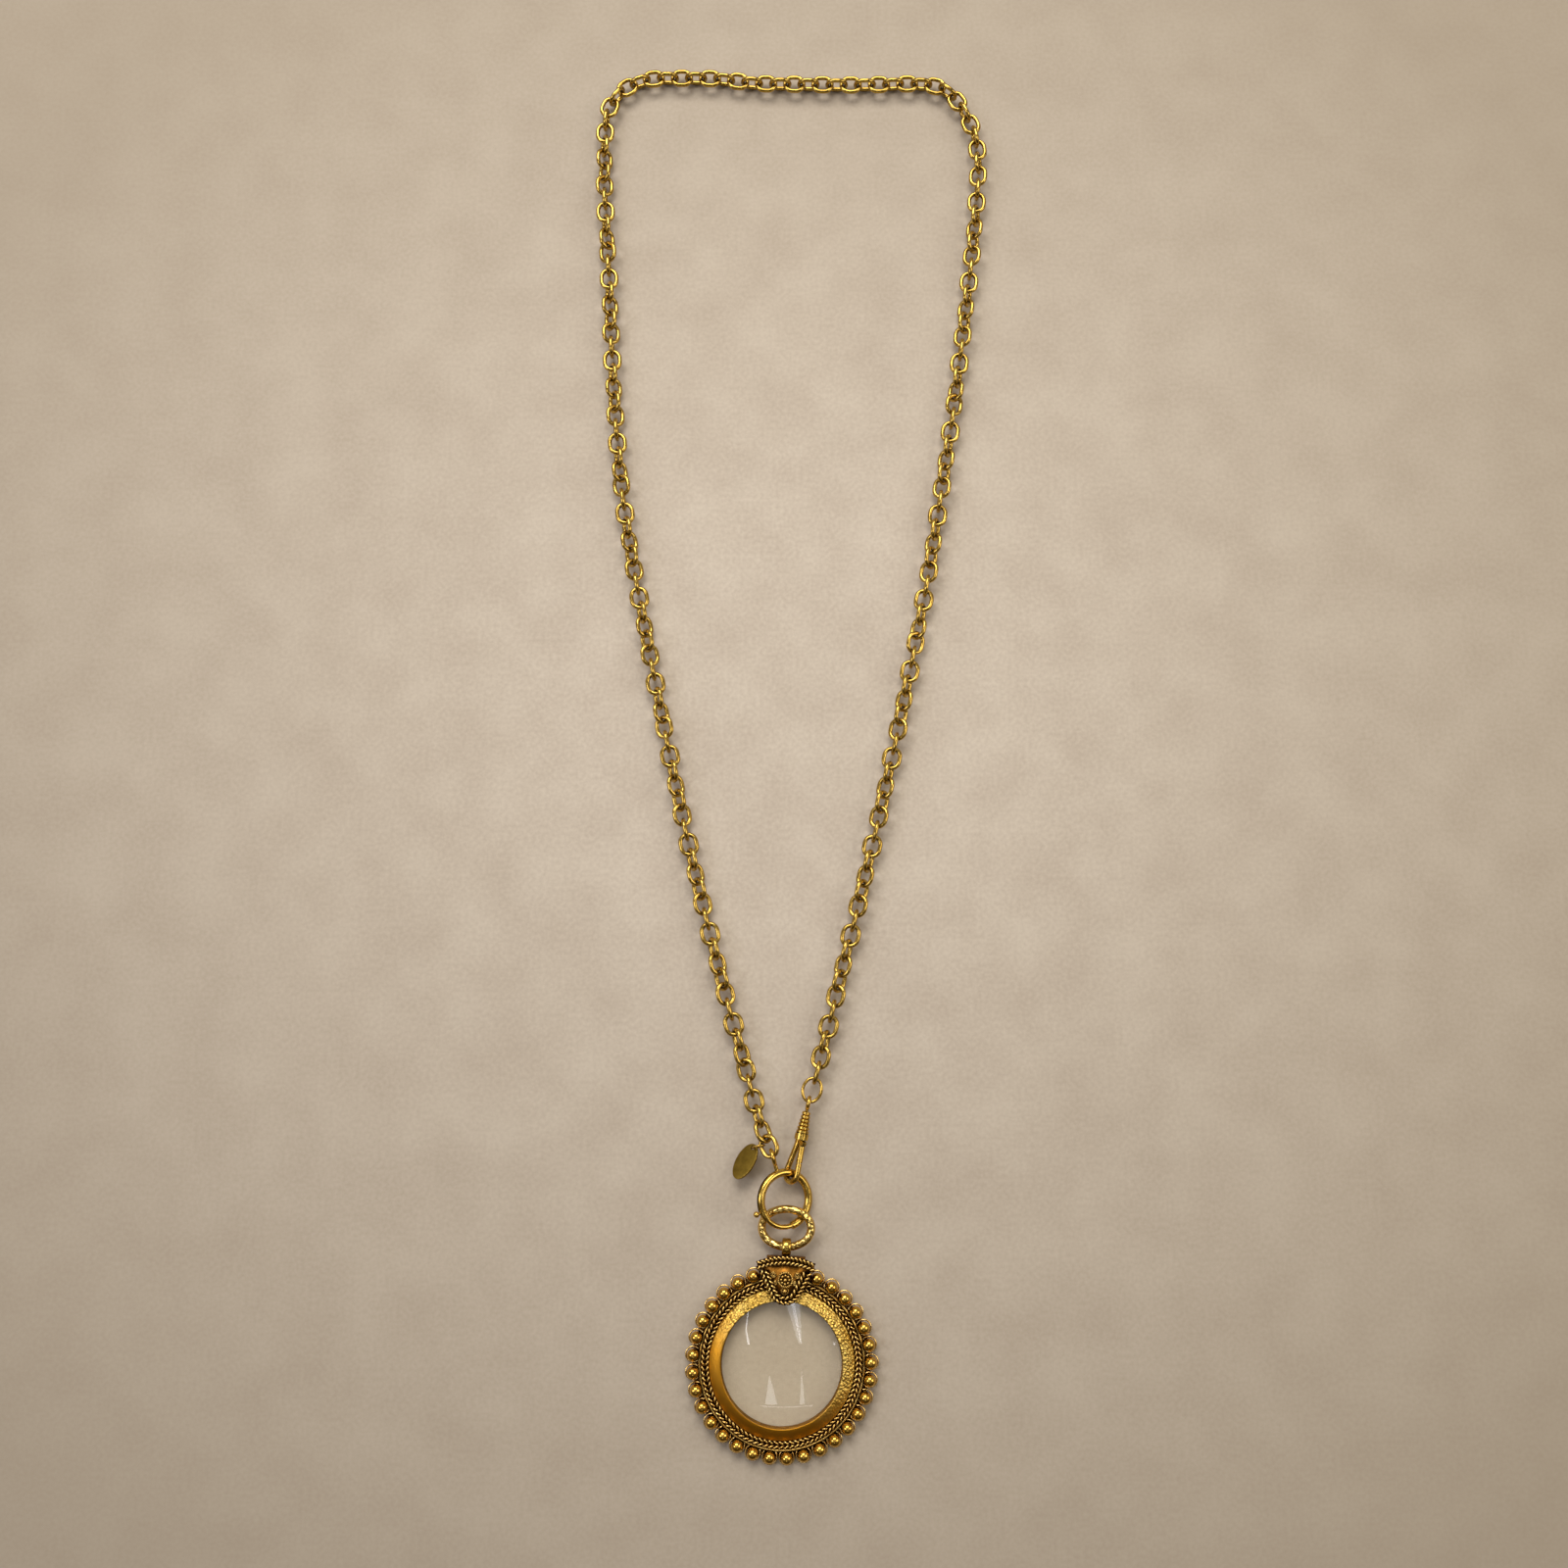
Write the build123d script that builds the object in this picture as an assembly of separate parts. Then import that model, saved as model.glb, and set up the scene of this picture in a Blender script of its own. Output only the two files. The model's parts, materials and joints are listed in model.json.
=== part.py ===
from build123d import *
import math
import os

# Quizzing glass: a round convex lens in a granulated gilt bezel, hung on a long link chain.
# Millimetres. The glass lies face up: Z = 0 is the surface below it and +Y points up the chain.
# Everything is worked out round the lens centre and moved onto the footprint's middle at the end.

# Lens
LENS_RADIUS = 18.0
LENS_LIP_OVERLAP = 0.95
LENS_EDGE = 1.45
LENS_FRONT_RISE = 2.2
LENS_BACK_RISE = 0.8
LENS_SIDE_CLEARANCE = 0.15
LENS_LIP_CLEARANCE = 0.3

# Back plate, lens seat and bezel band
PLATE_THICKNESS = 1.0
PLATE_OVERLAP = 1.5
BED_STEP = 0.7
BED_MARGIN = 0.1
SEAT_WIDTH = 1.3
SEAT_HEIGHT = 0.5
SEAT_SLOPE = 0.15
BAND_WIDTH = 2.15
BAND_OUTER_HEIGHT = 1.7
LIP_THICKNESS = 0.5
LIP_FLAT = 0.3

# Braid, rim wire, beads and their loops
BRAID_WIRE_RADIUS = 0.56
RIM_WIRE_RADIUS = 0.32
WIRE_GAP = 0.04
BEAD_COUNT = 30
BEAD_SPACING_ANGLE = 10.97
BEAD_RADIUS = 1.72
BEAD_STEP_OUT = 1.55
LOOP_RADIUS = 2.05
LOOP_WIRE_RADIUS = 0.25
PENDANT_TURN_ANGLE = -2.4

# Crest
CREST_PLATE_THICKNESS = 0.6
CREST_LIFT = 0.1
CREST_STEP_OUT = 1.9
CREST_LENGTH = 8.5
CREST_HALF_WIDTH = 6.9
CREST_FOOT_RADIUS = 4.2
ROPE_RADIUS = 0.62
BORDER_SPACING = 1.34
BORDER_SLOPE_SHARE = 1.12
CAP_ROPE_HALF_WIDTH = 8.0
CAP_ROPE_RISE = 1.75
CAP_ROPE_SPACING = 1.4
CAP_ROPE_GAP = 0.55
ROSETTE_RADIUS = 1.95
ROSETTE_WIRE_RADIUS = 0.32
ROSETTE_BALL_COUNT = 8
ROSETTE_BALL_RADIUS = 0.4
ROSETTE_BALL_RING_RADIUS = 1.14
ROSETTE_EYE_RADIUS = 0.55
ROSETTE_DROP = 2.3
BOSS_RADIUS = 0.72
BOSS_DROP = 5.3
LUG_HALF_WIDTH = 5.4
LUG_LENGTH = 5.6

# Bail
BAIL_HOLE_RADIUS = 1.45
BAIL_WALL = 0.95
BAIL_WIDTH = 2.5
BAIL_HEIGHT = 3.5
BAIL_NECK_LENGTH = 0.3
BAIL_NECK_HALF_WIDTH = 1.0
BAIL_NECK_HEIGHT = 2.0

# Hanging ring
RING_HALF_LENGTH = 7.0
RING_HALF_WIDTH = 5.15
RING_END_RADIUS = 4.35
RING_WIRE_RADIUS = 1.15
RING_ROLL_ANGLE = 8.0

# Spring ring
BOLT_RING_RADIUS = 7.5
TUBE_RADIUS = 1.12
TUBE_BORE_RADIUS = 0.8
BOLT_WIRE_RADIUS = 0.72
BOLT_RING_LEAN_ANGLE = 27.0
BOLT_RING_OVERLAP = 4.8
BOLT_RING_SHIFT_X = -0.45
BOLT_TIP_ANGLE = 293.0
BOLT_TAIL_ANGLE = 190.0
GAP_START_ANGLE = 222.0
GAP_END_ANGLE = 287.0
SOCKET_END_ANGLE = 296.0
SPRING_STOP_ANGLE = 45.0
KNOB_ANGLE = 202.0
BOLT_TRAVEL_ANGLE = 68.0
SLOT_HALF_WIDTH = 0.42
SLOT_END_ANGLE = 4.0
KNOB_POST_RADIUS = 0.32
KNOB_POST_LENGTH = 1.4
KNOB_BALL_RADIUS = 0.85
SPRING_WIRE_RADIUS = 0.12
SPRING_COIL_RADIUS = 0.5
SPRING_END_ANGLE = 2.0
EYE_ANGLE = 107.5
EYE_RADIUS = 2.0
EYE_WIRE_RADIUS = 0.6
EYE_NECK_LENGTH = 1.2
EYE_SLACK = 0.35

# Clasp
HOOK_ANGLE = 73.0
HOOK_WIRE_RADIUS = 0.86
HOOK_BEND_RADIUS = 2.35
HOOK_REACH = 9.6
HOOK_OFFSET = 0.95
HOOK_ROLL_ANGLE = 50.0
CLASP_LEAN_ANGLE = 12.0
CLASP_SLOPE_ANGLE = 3.0
HOOK_ROOT_OFFSET = 0.7
GATE_PIVOT_OFFSET = 1.0
GATE_PIVOT_DROP = 1.0
GATE_LENGTH = 5.4
GATE_SEAM = 0.12
GATE_TONGUE = 0.62
GATE_SLOT_CLEARANCE = 0.07
PIN_RADIUS = 0.24
PIN_CLEARANCE = 0.05
CHEEK_THICKNESS = 0.36
CHEEK_RADIUS = 0.8
BARREL_LENGTH = 8.0
BARREL_BASE_RADIUS = 2.0
BARREL_TOP_RADIUS = 1.16
BARREL_COLLAR_LENGTH = 1.7
BARREL_COLLAR_STEP = 0.12
BARREL_RIB_COUNT = 6
BARREL_RIB_DEPTH = 0.3
SHANK_RADIUS = 0.6
SHANK_LENGTH = 3.2
SHANK_CLEARANCE = 0.03
SWIVEL_HEAD_RADIUS = 0.74
SWIVEL_HEAD_LENGTH = 0.7
SWIVEL_STEM_RADIUS = 0.5
SWIVEL_CLEARANCE = 0.06
SWIVEL_ROOF = 0.8
SWIVEL_NECK_LENGTH = 0.3
SWIVEL_EYE_RADIUS = 1.55
SWIVEL_EYE_WIRE_RADIUS = 0.6
JUMP_HALF_LENGTH = 3.4
JUMP_HALF_WIDTH = 2.65
JUMP_END_RADIUS = 2.2
JUMP_WIRE_RADIUS = 0.45
JUMP_LEAN_ANGLE = 16.5

# Chain
LINK_WIRE_RADIUS = 0.65
LINK_INNER_LENGTH = 4.65
LINK_OUTER_WIDTH = 5.9
LINK_SLACK = 0.15
CHAIN_HEIGHT = 2.95
CHAIN_LENGTH = 331.5
CHAIN_SPREAD = 117.2
ROW_COUNT = 12
ROWS_SHARE = 0.955
TWIST_BULGE_ANGLE = 8.0
SETTLE_LENGTH = 22.0
ROUTE_STEP = 0.5
PITCH_LOW_SHARE = 0.9
TOLERANCE = 1e-6

# Tag
TAG_LENGTH = 10.9
TAG_WIDTH = 6.4
TAG_THICKNESS = 0.7
TAG_HOLE_RADIUS = 0.62
TAG_HOLE_MARGIN = 0.45
TAG_BEARING_ANGLE = 239.0
TAG_ROLL_ANGLE = 38.0
TAG_RING_RADIUS = 1.75
TAG_RING_WIRE_RADIUS = 0.3
TAG_LEG_GAP = 0.12
TAG_RING_HANG_ANGLE = 205.0
TAG_LINK_TWIST_ANGLE = -22.0
TAG_LEG_ANGLE = 14.0

# The chain's route round the loop, as shares: across of the spread, up of the chain length
ROUTE_SHARES = [
    (-0.051, 0.023), (-0.077, 0.056), (-0.130, 0.123), (-0.156, 0.157), (-0.206, 0.226),
    (-0.253, 0.296), (-0.295, 0.366), (-0.337, 0.438), (-0.377, 0.511), (-0.413, 0.586),
    (-0.435, 0.661), (-0.450, 0.738), (-0.462, 0.816), (-0.476, 0.896), (-0.477, 0.947),
    (-0.468, 0.974), (-0.422, 0.995), (-0.360, 1.004), (-0.280, 1.005), (-0.163, 1.004),
    (-0.083, 1.000), (0.000, 0.999), (0.161, 0.998), (0.320, 0.999), (0.402, 0.998),
    (0.448, 0.992), (0.483, 0.976), (0.515, 0.952), (0.525, 0.896), (0.503, 0.816),
    (0.475, 0.738), (0.445, 0.661), (0.411, 0.586), (0.376, 0.511), (0.335, 0.438),
    (0.292, 0.366), (0.247, 0.296), (0.200, 0.226), (0.150, 0.157), (0.110, 0.100),
]

X, Y, Z = Vector(1, 0, 0), Vector(0, 1, 0), Vector(0, 0, 1)


def frame(origin, x_dir, z_dir):
    """Where a piece drawn about the zero point goes: its centre, its X and its Z."""
    return Location(Plane(origin=origin, x_dir=x_dir, z_dir=z_dir))


def compass(angle):
    """The unit direction at an angle from +X in the ground plane."""
    return Vector(math.cos(math.radians(angle)), math.sin(math.radians(angle)), 0)


def rod(start, end, radius):
    """A round bar between two points."""
    return Solid.make_cylinder(radius, (end - start).length, Plane(origin=start, z_dir=end - start))


def bar(x_low, x_high, y_low, y_high, z_low, z_high):
    """A block between its corners."""
    block = Box(x_high - x_low, y_high - y_low, z_high - z_low)
    return Pos((x_low + x_high) / 2, (y_low + y_high) / 2, (z_low + z_high) / 2) * block


def arc_wire(radius, wire, start, sweep):
    """Round wire along an arc about the zero point in the ground plane."""
    return Rot(0, 0, start) * Solid.make_torus(radius, wire, major_angle=sweep)


def turned(points):
    """A ring turned from a section given as (radius, height) points."""
    section = Plane.XZ * make_face(Polyline(*points, close=True))
    return revolve(section, Axis.Z)


def one(*solids):
    """Solids fused into a single piece."""
    whole = solids[0]
    for solid in solids[1:]:
        whole = whole + solid
    return whole.solid() if hasattr(whole, "solid") else whole


def oval_wire(half_length, half_width, end_radius, wire):
    """A closed oval of four tangent arcs of round wire, long along Y."""
    side_radius = (half_length**2 + half_width**2 - 2 * half_length * end_radius) / (
        2 * (half_width - end_radius)
    )
    end_y = half_length - end_radius
    side_x = side_radius - half_width
    reach = math.degrees(math.atan2(side_x, end_y))
    half = 90 - reach
    top = Pos(0, end_y, 0) * arc_wire(end_radius, wire, 90 - reach, 2 * reach)
    foot = Pos(0, -end_y, 0) * arc_wire(end_radius, wire, 270 - reach, 2 * reach)
    left = Pos(side_x, 0, 0) * arc_wire(side_radius, wire, 180 - half, 2 * half)
    right = Pos(-side_x, 0, 0) * arc_wire(side_radius, wire, -half, 2 * half)
    return one(top, left, foot, right)


# Lens and bezel
plate_top = PLATE_THICKNESS
lens_foot = plate_top + SEAT_HEIGHT
lip_foot = lens_foot + LENS_EDGE + LENS_LIP_CLEARANCE
lip_top = lip_foot + LIP_THICKNESS
groove_radius = LENS_RADIUS + LENS_SIDE_CLEARANCE
opening_radius = LENS_RADIUS - LENS_LIP_OVERLAP
plate_bore_radius = LENS_RADIUS - PLATE_OVERLAP
seat_bore_radius = LENS_RADIUS - SEAT_WIDTH
band_outer_radius = groove_radius + BAND_WIDTH
braid_inner_radius = band_outer_radius + WIRE_GAP + BRAID_WIRE_RADIUS
braid_outer_radius = braid_inner_radius + 2 * BRAID_WIRE_RADIUS + WIRE_GAP
rim_radius = braid_outer_radius + BRAID_WIRE_RADIUS + WIRE_GAP + RIM_WIRE_RADIUS
bed_radius = rim_radius + RIM_WIRE_RADIUS + BED_MARGIN
bed_top = plate_top + BED_STEP
bead_ring_radius = bed_radius + BEAD_STEP_OUT


def dome(radius, rise):
    """The cap of a sphere on a disc, its flat side down."""
    ball_radius = (radius**2 + rise**2) / (2 * rise)
    ball = Pos(0, 0, rise - ball_radius) * Sphere(ball_radius)
    return ball & (Pos(0, 0, rise / 2) * Cylinder(radius, rise))


def lens():
    """Glass convex on both faces, thicker at the front."""
    edge = Pos(0, 0, lens_foot + LENS_EDGE / 2) * Cylinder(LENS_RADIUS, LENS_EDGE)
    front = Pos(0, 0, lens_foot + LENS_EDGE) * dome(LENS_RADIUS, LENS_FRONT_RISE)
    back = Pos(0, 0, lens_foot) * Rot(180, 0, 0) * dome(LENS_RADIUS, LENS_BACK_RISE)
    return one(edge, front, back)


def back_plate():
    """The flat ring that everything is soldered on, with a raised bed below the braid."""
    edge = bead_ring_radius
    return turned([
        (plate_bore_radius, 0), (edge, 0), (edge, plate_top), (bed_radius, plate_top),
        (bed_radius, bed_top), (band_outer_radius, bed_top), (band_outer_radius, plate_top),
        (plate_bore_radius, plate_top),
    ])


def lens_seat():
    """The ring that the lens's edge stands on."""
    return turned([
        (seat_bore_radius, plate_top), (LENS_RADIUS, plate_top),
        (LENS_RADIUS, lens_foot), (seat_bore_radius, lens_foot - SEAT_SLOPE),
    ])


def bezel_band():
    """The conical band, whose lip reaches over the lens's edge."""
    return turned([
        (groove_radius, plate_top), (band_outer_radius, plate_top),
        (band_outer_radius, plate_top + BAND_OUTER_HEIGHT),
        (opening_radius + LIP_FLAT, lip_top), (opening_radius, lip_top),
        (opening_radius, lip_foot), (groove_radius, lip_foot),
    ])


def ring_wire(radius, wire, foot):
    """A closed ring of round wire lying on a height."""
    return Pos(0, 0, foot + wire) * Torus(radius, wire)


bead_arc = BEAD_SPACING_ANGLE * (BEAD_COUNT - 1)
first_bead_angle = 90 + (360 - bead_arc) / 2


def beads():
    """Soldered balls, evenly spaced from one side of the crest round to the other."""
    ball = Sphere(BEAD_RADIUS)
    height = plate_top + BEAD_RADIUS
    angles = [first_bead_angle + BEAD_SPACING_ANGLE * i for i in range(BEAD_COUNT)]
    return [Pos(compass(a) * bead_ring_radius + Z * height) * ball for a in angles]


def bead_loops():
    """An open wire loop round each bead, with its feet against the bed."""
    foot_share = (bead_ring_radius - bed_radius - LOOP_WIRE_RADIUS - WIRE_GAP) / LOOP_RADIUS
    reach = 90 + math.degrees(math.asin(foot_share))
    loop = arc_wire(LOOP_RADIUS, LOOP_WIRE_RADIUS, -reach, 2 * reach)
    height = plate_top + LOOP_WIRE_RADIUS
    angles = [first_bead_angle + BEAD_SPACING_ANGLE * i for i in range(BEAD_COUNT)]
    return [
        Pos(compass(a) * bead_ring_radius + Z * height) * Rot(0, 0, a) * loop for a in angles
    ]


# Crest, drawn as it stands before the pendant is turned
crest_foot = lip_top + CREST_LIFT
crest_top = crest_foot + CREST_PLATE_THICKNESS
rope_height = crest_top + ROPE_RADIUS
crest_top_y = bed_radius + CREST_STEP_OUT
crest_foot_y = crest_top_y - CREST_LENGTH
cap_y = crest_top_y + CAP_ROPE_GAP
lug_end = bed_radius + BED_MARGIN + LUG_LENGTH


def border_path(inset):
    """One side of the shield at an inset: its top, and the round foot that it runs into."""
    foot_radius = CREST_FOOT_RADIUS - inset
    top = Vector(CREST_HALF_WIDTH - inset * BORDER_SLOPE_SHARE, crest_top_y, 0)
    centre = Vector(0, crest_foot_y + CREST_FOOT_RADIUS, 0)
    gap = top - centre
    bearing = math.degrees(math.atan2(gap.Y, gap.X))
    reach = bearing - math.degrees(math.acos(foot_radius / gap.length))
    return top, centre, foot_radius, reach


def rope_border(inset):
    """The rope that follows the shield at an inset, drawn as plain round wire."""
    top, centre, radius, reach = border_path(inset)
    touch = centre + compass(reach) * radius
    foot = Pos(centre) * arc_wire(radius, ROPE_RADIUS, 180 - reach, 180 + 2 * reach)
    sides = [rod(Vector(side * top.X, top.Y, 0), Vector(side * touch.X, touch.Y, 0), ROPE_RADIUS)
             for side in (-1, 1)]
    return Pos(0, 0, rope_height) * one(foot, *sides)


def cap_arc(step):
    """The centre, radius and half angle of a bow above the shield."""
    radius = (CAP_ROPE_HALF_WIDTH**2 + CAP_ROPE_RISE**2) / (2 * CAP_ROPE_RISE)
    crown_y = cap_y + CAP_ROPE_RISE + CAP_ROPE_SPACING * step
    reach = math.degrees(math.asin(CAP_ROPE_HALF_WIDTH / radius))
    return Vector(0, crown_y - radius, 0), radius, reach


def cap_rope(step):
    """One of the two bowed ropes above the shield."""
    centre, radius, reach = cap_arc(step)
    bow = arc_wire(radius, ROPE_RADIUS, 90 - reach, 2 * reach)
    return Pos(0, 0, rope_height) * Pos(centre) * bow


def crest_plate():
    """The shield and the bow above it, in one flat plate on a lug from the back plate."""
    top, centre, radius, reach = border_path(0)
    touch = centre + compass(reach) * radius
    wide, low, high = CAP_ROPE_HALF_WIDTH, cap_y - ROPE_RADIUS / 2, cap_y + CAP_ROPE_SPACING
    foot = ThreePointArc((touch.X, touch.Y), (0, centre.Y - radius), (-touch.X, touch.Y))
    left = Polyline((-touch.X, touch.Y), (-top.X, top.Y), (-wide, low), (-wide, high))
    bow = ThreePointArc((-wide, high), (0, high + CAP_ROPE_RISE), (wide, high))
    right = Polyline((wide, high), (wide, low), (top.X, top.Y), (touch.X, touch.Y))
    face = make_face([foot, left, bow, right])
    plate = Pos(0, 0, crest_foot) * extrude(face, CREST_PLATE_THICKNESS)
    lug_y = bed_radius + BED_MARGIN
    lug = bar(-LUG_HALF_WIDTH, LUG_HALF_WIDTH, lug_y, lug_end, plate_top, crest_foot)
    return one(plate, lug)


def crest_rosette():
    """A granulated flower: a wire ring, a round of small balls and a larger one at the centre."""
    ring = Pos(0, 0, ROSETTE_WIRE_RADIUS) * Torus(ROSETTE_RADIUS, ROSETTE_WIRE_RADIUS)
    turns = [360 / ROSETTE_BALL_COUNT * i for i in range(ROSETTE_BALL_COUNT)]
    height = Z * ROSETTE_BALL_RADIUS
    balls = [Pos(compass(a) * ROSETTE_BALL_RING_RADIUS + height) * Sphere(ROSETTE_BALL_RADIUS)
             for a in turns]
    eye = Pos(0, 0, ROSETTE_EYE_RADIUS) * Sphere(ROSETTE_EYE_RADIUS)
    return [Pos(0, crest_top_y - ROSETTE_DROP, crest_top) * piece for piece in [ring, eye] + balls]


def crest_boss():
    """A small ball soldered below the rosette."""
    return Pos(0, crest_top_y - BOSS_DROP, crest_top + BOSS_RADIUS) * Sphere(BOSS_RADIUS)


bail_y = lug_end + BAIL_NECK_LENGTH + BAIL_HOLE_RADIUS + BAIL_WALL
bail_outer = BAIL_HOLE_RADIUS + BAIL_WALL


def bail_loop():
    """The strap loop on the lug's end, its hole along X."""
    side = Rot(0, 90, 0)
    loop = side * (Cylinder(bail_outer, BAIL_WIDTH) - Cylinder(BAIL_HOLE_RADIUS, BAIL_WIDTH * 2))
    loop = Pos(0, bail_y, BAIL_HEIGHT) * fillet(loop.edges(), BAIL_WALL / 4)
    low = crest_foot - BAIL_NECK_HEIGHT
    neck_end = bail_y - BAIL_HOLE_RADIUS - BAIL_WALL / 2
    neck = bar(-BAIL_NECK_HALF_WIDTH, BAIL_NECK_HALF_WIDTH, lug_end, neck_end, low, crest_foot)
    return one(loop, neck)


pendant_turn = Rot(0, 0, PENDANT_TURN_ANGLE)
bail_centre = Vector(0, bail_y, BAIL_HEIGHT).rotate(Axis.Z, PENDANT_TURN_ANGLE)

# Hanging ring: lies on the surface side of the bail, rolled a little to its left
ring_roll = math.radians(RING_ROLL_ANGLE)
ring_x = Vector(math.cos(ring_roll), 0, math.sin(ring_roll))
ring_normal = Vector(-math.sin(ring_roll), 0, math.cos(ring_roll))
ring_centre = bail_centre + Y * RING_HALF_WIDTH
ring_place = frame(ring_centre, ring_x, ring_normal)


def hanging_ring():
    """A closed oval of round wire, wider than it is tall."""
    oval = oval_wire(RING_HALF_LENGTH, RING_HALF_WIDTH, RING_END_RADIUS, RING_WIRE_RADIUS)
    return ring_place * Rot(0, 0, 90) * oval


# Spring ring: leans the other way, so that the two rings thread each other
lean = math.radians(BOLT_RING_LEAN_ANGLE)
bolt_x = Vector(math.cos(lean), 0, -math.sin(lean))
bolt_normal = Vector(math.sin(lean), 0, math.cos(lean))
bolt_height = BOLT_RING_RADIUS * math.sin(lean) + TUBE_RADIUS
bolt_centre = Vector(
    ring_centre.X + BOLT_RING_SHIFT_X,
    ring_centre.Y + RING_HALF_WIDTH - BOLT_RING_OVERLAP + BOLT_RING_RADIUS,
    bolt_height,
)
bolt_place = frame(bolt_centre, bolt_x, bolt_normal)


def on_bolt_ring(angle, radius):
    """A point at an angle and a radius in the spring ring's plane."""
    turn = math.radians(angle)
    return bolt_centre + bolt_x * (radius * math.cos(turn)) + Y * (radius * math.sin(turn))


def spring_ring_tube():
    """The tube, open between its two mouths and slotted for the knob's post."""
    sweep = 360 - (GAP_END_ANGLE - GAP_START_ANGLE)
    tube = arc_wire(BOLT_RING_RADIUS, TUBE_RADIUS, GAP_END_ANGLE, sweep)
    run = GAP_START_ANGLE - SPRING_STOP_ANGLE
    tube = tube - arc_wire(BOLT_RING_RADIUS, TUBE_BORE_RADIUS, SPRING_STOP_ANGLE, run)
    socket = SOCKET_END_ANGLE - GAP_END_ANGLE
    tube = tube - arc_wire(BOLT_RING_RADIUS, TUBE_BORE_RADIUS, GAP_END_ANGLE, socket)
    slot_start = KNOB_ANGLE - BOLT_TRAVEL_ANGLE - SLOT_END_ANGLE
    slot_sweep = BOLT_TRAVEL_ANGLE + 2 * SLOT_END_ANGLE
    low = BOLT_RING_RADIUS + TUBE_BORE_RADIUS / 2
    high = BOLT_RING_RADIUS + TUBE_RADIUS * 2
    section = Plane.XZ * make_face(Polyline(
        (low, -SLOT_HALF_WIDTH), (high, -SLOT_HALF_WIDTH),
        (high, SLOT_HALF_WIDTH), (low, SLOT_HALF_WIDTH), close=True,
    ))
    slot = revolve(section, Axis.Z, slot_sweep)
    return bolt_place * (tube - Rot(0, 0, slot_start) * slot)


def spring_ring_bolt():
    """The sliding wire that closes the ring."""
    sweep = BOLT_TIP_ANGLE - BOLT_TAIL_ANGLE
    wire = arc_wire(BOLT_RING_RADIUS, BOLT_WIRE_RADIUS, BOLT_TAIL_ANGLE, sweep)
    hole = rod(X * BOLT_RING_RADIUS, X * (BOLT_RING_RADIUS + TUBE_RADIUS), KNOB_POST_RADIUS)
    return bolt_place * (wire - Rot(0, 0, KNOB_ANGLE) * hole)


def spring_ring_knob():
    """The thumb ball on its post, set into the bolt."""
    far = BOLT_RING_RADIUS + BOLT_WIRE_RADIUS + KNOB_POST_LENGTH
    post = rod(X * BOLT_RING_RADIUS, X * far, KNOB_POST_RADIUS)
    ball = Pos(far, 0, 0) * Sphere(KNOB_BALL_RADIUS)
    return bolt_place * Rot(0, 0, KNOB_ANGLE) * one(post, ball)


def bolt_spring():
    """The coil spring behind the bolt, drawn as the sleeve that it fills."""
    start = SPRING_STOP_ANGLE + SPRING_END_ANGLE
    sweep = BOLT_TAIL_ANGLE - SPRING_END_ANGLE - start
    sleeve = arc_wire(BOLT_RING_RADIUS, SPRING_COIL_RADIUS, start, sweep)
    core = arc_wire(BOLT_RING_RADIUS, SPRING_COIL_RADIUS - 2 * SPRING_WIRE_RADIUS, start, sweep)
    return bolt_place * (sleeve - core)


eye_reach = BOLT_RING_RADIUS + TUBE_RADIUS + EYE_NECK_LENGTH + EYE_RADIUS + EYE_WIRE_RADIUS
eye_centre = on_bolt_ring(EYE_ANGLE, eye_reach)
eye_out = (eye_centre - bolt_centre).normalized()


def spring_ring_eye():
    """The fixed eye on the tube that takes the chain's last link, seen edge on from above."""
    loop = Torus(EYE_RADIUS, EYE_WIRE_RADIUS)
    across = eye_out.cross(Z).normalized()
    loop = frame(eye_centre, eye_out, across) * loop
    foot = on_bolt_ring(EYE_ANGLE, BOLT_RING_RADIUS)
    post = rod(foot, eye_centre - eye_out * EYE_RADIUS, EYE_WIRE_RADIUS)
    tube = bolt_place * Torus(BOLT_RING_RADIUS, TUBE_RADIUS)
    return one(loop, post) - tube


# Clasp: a snap hook, its own X towards the gate and its own Y up the barrel
hook_centre = on_bolt_ring(HOOK_ANGLE, BOLT_RING_RADIUS)
slope = math.radians(CLASP_SLOPE_ANGLE)
level = compass(90 - CLASP_LEAN_ANGLE)
clasp_up = level * math.cos(slope) - Z * math.sin(slope)
clasp_side = clasp_up.cross(Z).normalized()
clasp_lift = clasp_side.cross(clasp_up)
hook_roll = math.radians(HOOK_ROLL_ANGLE)
hook_x = clasp_side * math.cos(hook_roll) + clasp_lift * math.sin(hook_roll)
hook_normal = hook_x.cross(clasp_up)
clasp_base = hook_centre + clasp_up * HOOK_REACH + hook_x * HOOK_OFFSET
clasp_place = frame(clasp_base, hook_x, hook_normal)
bend_centre = Vector(-HOOK_OFFSET, -HOOK_REACH, 0)
hook_root = Vector(-HOOK_ROOT_OFFSET, 0, 0)
gate_pivot = Vector(GATE_PIVOT_OFFSET, -GATE_PIVOT_DROP, 0)


def tangent_angle(point, centre, radius, side):
    """Where the line from a point touches a circle, as an angle about its centre."""
    gap = point - centre
    lean = math.degrees(math.atan2(gap.Y, gap.X))
    return lean + side * math.degrees(math.acos(radius / gap.length))


fixed_touch = tangent_angle(hook_root, bend_centre, HOOK_BEND_RADIUS, 1)
nose_touch = tangent_angle(gate_pivot, bend_centre, HOOK_BEND_RADIUS, -1)
fixed_point = bend_centre + compass(fixed_touch) * HOOK_BEND_RADIUS
nose_point = bend_centre + compass(nose_touch) * HOOK_BEND_RADIUS
gate_down = (nose_point - gate_pivot).normalized()
gate_end = gate_pivot + gate_down * GATE_LENGTH
nose_end = gate_end + gate_down * GATE_SEAM
slot_half = GATE_TONGUE / 2 + GATE_SLOT_CLEARANCE


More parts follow.
